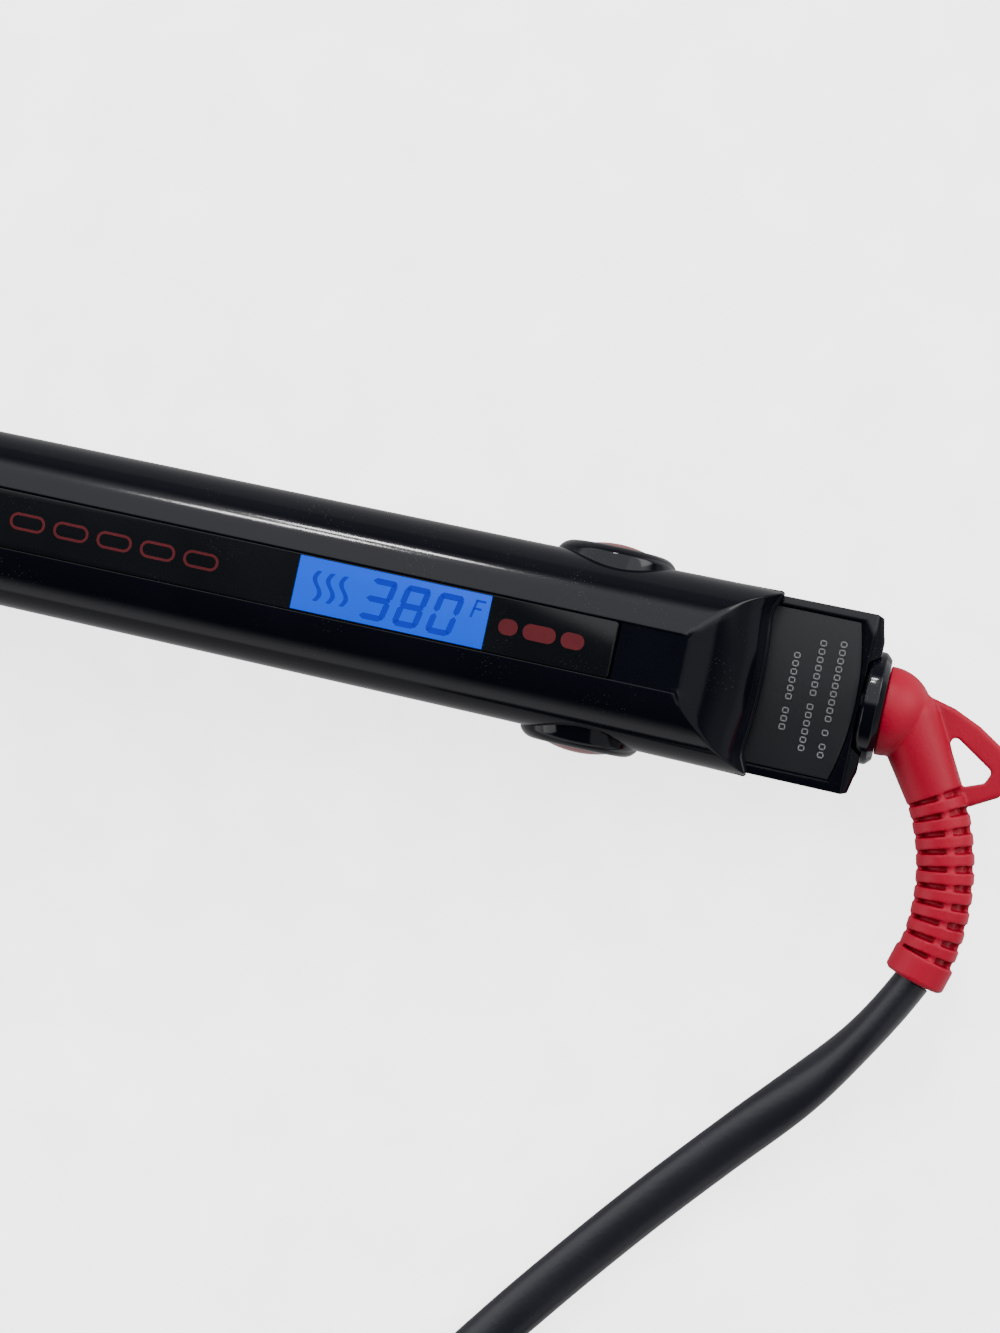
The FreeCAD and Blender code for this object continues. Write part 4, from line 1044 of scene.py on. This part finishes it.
def coil_route():
    """The coil's turns: inwards along the bottom, up one layer, and outwards along the top."""
    points = []
    steps = round(COIL_TURNS * POINTS_PER_TURN)
    for i in range(1, steps):
        turn = COIL_TURNS * i / steps
        angle = COIL_START + 2 * math.pi * turn
        inward = min(1.0, turn / 3.0)
        outward = max(0.0, (turn - 3.25) / (COIL_TURNS - 3.25))
        radius = COIL_OUTER + (COIL_INNER - COIL_OUTER) * (inward - outward)
        rise = CORD * MM * blend_in(3.0, 3.3, turn)
        x = COIL_CENTRE[0] + radius * math.cos(angle)
        y = COIL_CENTRE[1] + radius * math.sin(angle)
        points.append((x, y, FLOOR_LEVEL + rise))
    return points


def cord_line():
    """The lead's smooth centre line, in the row frame, read from its NURBS spline."""
    data = bpy.data.curves.new("lead_route", "CURVE")
    data.dimensions = "3D"
    spline = data.splines.new("NURBS")
    route = [Vector(p) + HINGE for p in LEAD_ROUTE + coil_route() + PLUG_ROUTE]
    spline.points.add(len(route) - 1)
    for point, place in zip(spline.points, route):
        point.co = (*place, 1)
    spline.order_u = 3
    spline.use_endpoint_u = True
    spline.resolution_u = 8
    holder = bpy.data.objects.new("lead_route", data)
    bpy.context.scene.collection.objects.link(holder)
    bpy.context.evaluated_depsgraph_get().update()
    mesh = bpy.data.meshes.new_from_object(holder)
    line = [vert.co.copy() for vert in mesh.vertices]
    bpy.data.objects.remove(holder)
    bpy.data.curves.remove(data)
    bpy.data.meshes.remove(mesh)
    return line


def mains_lead():
    """An oval lead that twists where it lies loose, and is round in the coil."""
    line = cord_line()

    def half_sizes(s):
        oval = 1 - blend_in(0.13, 0.17, s)
        narrow = blend_in(0.0, 0.03, s)
        return (0.004 + 0.0008 * oval * narrow, 0.004 - 0.0005 * oval)

    def twist(s):
        return 0.5 * math.pi * (1 - blend_in(0.0, 0.05, s) + 0.8 * blend_in(0.09, 0.16, s))

    bm = tube_mesh(line, half_sizes, 28, twist)
    for vert in bm.verts:
        vert.co.z = max(vert.co.z, 0.0)
    lead = finish_piece("mains_lead", bm, "cord_swivel", "cord_rubber",
                        ["cord_lead", "cord_coil", "cord_end"], place=Matrix(), sharp=60)
    strap = cord_tie()
    shell, blades = plug()


def cord_tie():
    """A strap round the coil's bundle, rounded over its corners."""
    x0, x1 = 20.0 - 59.6, 20.0 - 26.9
    z0, z1 = -19.95, -3.0
    lean, thick, half, corner = 0.9, 0.9, 4, 4.6
    y0 = COIL_CENTRE[1] / MM
    outer, inner = (
        fillet([(x0 + t, z0 + t), (x1 - t, z0 + t), (x1 - t, z1 - t), (x0 + lean + t, z1 - t)],
               corner - t, 8, closed=True)
        for t in (0.0, thick)
    )
    bm = bmesh.new()
    rings = []
    for y, outline in ((-half, inner), (-half, outer), (half, outer), (half, inner), (-half, inner)):
        rings.append([(x, y0 + y, z) for x, z in outline])
    skin(bm, rings, True)
    return finish_piece("lead_tie_strap", bm, "cord_swivel", "black_satin", ["cord_tie"])


def plug():
    """Two-blade plug: a soft body with finger ribs and a tapered neck, and two blades."""
    end = Vector(PLUG_ROUTE[-1]) / MM
    way = end - Vector(PLUG_ROUTE[-2]) / MM
    bearing = math.atan2(way.y, way.x)
    place = LOWER @ Matrix.Translation(end) @ Matrix.Rotation(bearing, 4, "Z")
    body = rounded_box((10, 36), (-11, 11), (-7.6, 7.6), 3.2, 2.2)
    neck = lathe(fillet([(0, 0), (4.9, 0), (6.2, 12), (0, 12)], 0.8, 4), ALONG_X, 64)
    pieces = [body, neck]
    for i in range(5):
        pieces.append(lathe(rod(5.6 + 0.22 * i, 2.2 + 1.9 * i, 3.2 + 1.9 * i), ALONG_X, 64))
    for side in (-1, 1):
        for i in range(4):
            x = 16 + 4.2 * i
            pieces.append(rounded_box((x - 0.9, x + 0.9), (-7, 7), sorted((side * 7.3, side * 8.0)), 0.8, 0.3))
    shell = finish_piece("mains_plug_shell", joined(*pieces), "cord_swivel", "cord_rubber",
                         ["plug_body"], place=place)
    bars = []
    for y in (-6.35, 6.35):
        stand = Matrix.Translation((0, y, 0)) @ Matrix.Rotation(math.pi / 2, 4, "X")
        bar = rounded_box((35.5, 53), (-3.2, 3.2), (-0.75, 0.75), 1.4, 0.2, stand)
        bars.append(carve(bar, [drum(1.6, (-3, 3), "Y", (49.5, y, 0), 48)]))
    blades = finish_piece("mains_plug_blades", joined(*bars), "cord_swivel", "steel", ["plug_blades"], place=place)
    return shell, blades


# ---------------- floor, light, camera
def smooth_range(tree, source, low, high, start=0.0, end=1.0):
    """A smooth step of a value between two limits."""
    level = tree.nodes.new("ShaderNodeMapRange")
    level.interpolation_type = "SMOOTHSTEP"
    for socket, value in zip(("From Min", "From Max", "To Min", "To Max"), (low, high, start, end)):
        level.inputs[socket].default_value = value
    tree.links.new(source, level.inputs["Value"])
    return level.outputs["Result"]


def surroundings():
    """A dim room: dark overhead, a soft grey panel high at the back, and pale walls low down."""
    world = bpy.data.worlds.new("studio")
    bpy.context.scene.world = world
    world.use_nodes = True
    tree = world.node_tree
    place = tree.nodes.new("ShaderNodeTexCoord")
    split = tree.nodes.new("ShaderNodeSeparateXYZ")
    tree.links.new(place.outputs["Generated"], split.inputs["Vector"])
    x, y, z = (split.outputs[axis] for axis in "XYZ")
    step = functools.partial(smooth_range, tree)
    panel = combine(tree, "MULTIPLY", step(y, 0.05, 0.2), step(y, 0.80, 0.95, 1.0, 0.0), step(z, 0.1, 0.35), 2.3)
    walls = combine(
        tree, "MULTIPLY", step(z, 0.12, 0.52, 1.0, 0.0), step(z, -0.12, 0.0), step(y, -0.9, -0.3, 0.6, 1.0),
        step(y, 0.1, 0.5, 1.0, 0.12), step(x, 0.3, 0.65, 1.0, 0.15), 2.3,
    )
    glimpse = combine(tree, "MULTIPLY", step(x, 0.42, 0.46), step(x, 0.84, 0.88, 1.0, 0.0), 0.7)
    below = step(z, -0.12, 0.0, 0.5, 0.0)
    total = combine(tree, "ADD", panel, walls, glimpse, below, 0.02)
    tree.links.new(total, tree.nodes["Background"].inputs["Strength"])
    tree.nodes["Background"].inputs["Color"].default_value = (0.98, 0.985, 1.0, 1)


def lamp(name, where, size, power):
    """A rectangular lamp that faces the iron."""
    data = bpy.data.lights.new(name, "AREA")
    data.shape = "RECTANGLE"
    data.size, data.size_y = size
    data.energy = power
    thing = bpy.data.objects.new(name, data)
    bpy.context.scene.collection.objects.link(thing)
    thing.location = where
    thing.rotation_euler = (Vector((0.0, -0.05, 0.02)) - Vector(where)).to_track_quat("-Z", "Y").to_euler()


def studio():
    """Pale floor, soft surroundings, two lamp tubes overhead and two fill lamps."""
    bm = bmesh.new()
    bmesh.ops.create_grid(bm, x_segments=2, y_segments=2, size=3.0)
    floor = linked_object(bm, "floor")
    floor.location.z = -0.0002
    # The iron is shown as a cut-out on white, so its gloss and its underside see no floor.
    floor.visible_glossy = False
    floor.visible_diffuse = False
    floor.data.materials.append(glowing("pale_floor", (0.86, 0.86, 0.86), 3.2, 0.85))
    surroundings()
    lamp("near_tube", (-0.08, 1.19, 0.93), (0.16, 0.04), 3.5)
    lamp("far_tube", (-0.02, 1.29, 0.79), (0.16, 0.04), 3.5)
    lamp("front", (-1.4, -0.5, 0.9), (0.8, 0.8), 6.0)
    lamp("rear", (1.1, 0.9, 0.5), (0.6, 0.6), 5.0)


VIEW_DISTANCE = 450.0
VIEW_HEIGHT = 256.3
VIEW_TILT = math.radians(12.25)
VIEW_CENTRE = (-17.7, -7.4)


def camera():
    """Square on to the display face, turned so that the iron slopes down to the right."""
    data = bpy.data.cameras.new("camera")
    data.sensor_width = 36.0
    data.lens = data.sensor_width * VIEW_DISTANCE / VIEW_HEIGHT
    data.clip_start = 0.01
    eye = bpy.data.objects.new("camera", data)
    bpy.context.scene.collection.objects.link(eye)
    tilt = Matrix.Rotation(OPEN, 4, "Y")
    centre = HINGE + (tilt @ Vector((*VIEW_CENTRE, 0))) * MM
    eye.matrix_world = (
        Matrix.Translation(centre) @ tilt @ Matrix.Rotation(VIEW_TILT, 4, "Z")
        @ Matrix.Translation((0, 0, VIEW_DISTANCE * MM))
    )
    bpy.context.scene.camera = eye


camera()
strain_relief()
mains_lead()
upper_housing()
lower_housing()
label_plate()
display_strip()
display()
strip_prints()
buttons()
hinge_caps()
arm_spring()
barrel()
clamp()
swivel_collar()
studio()
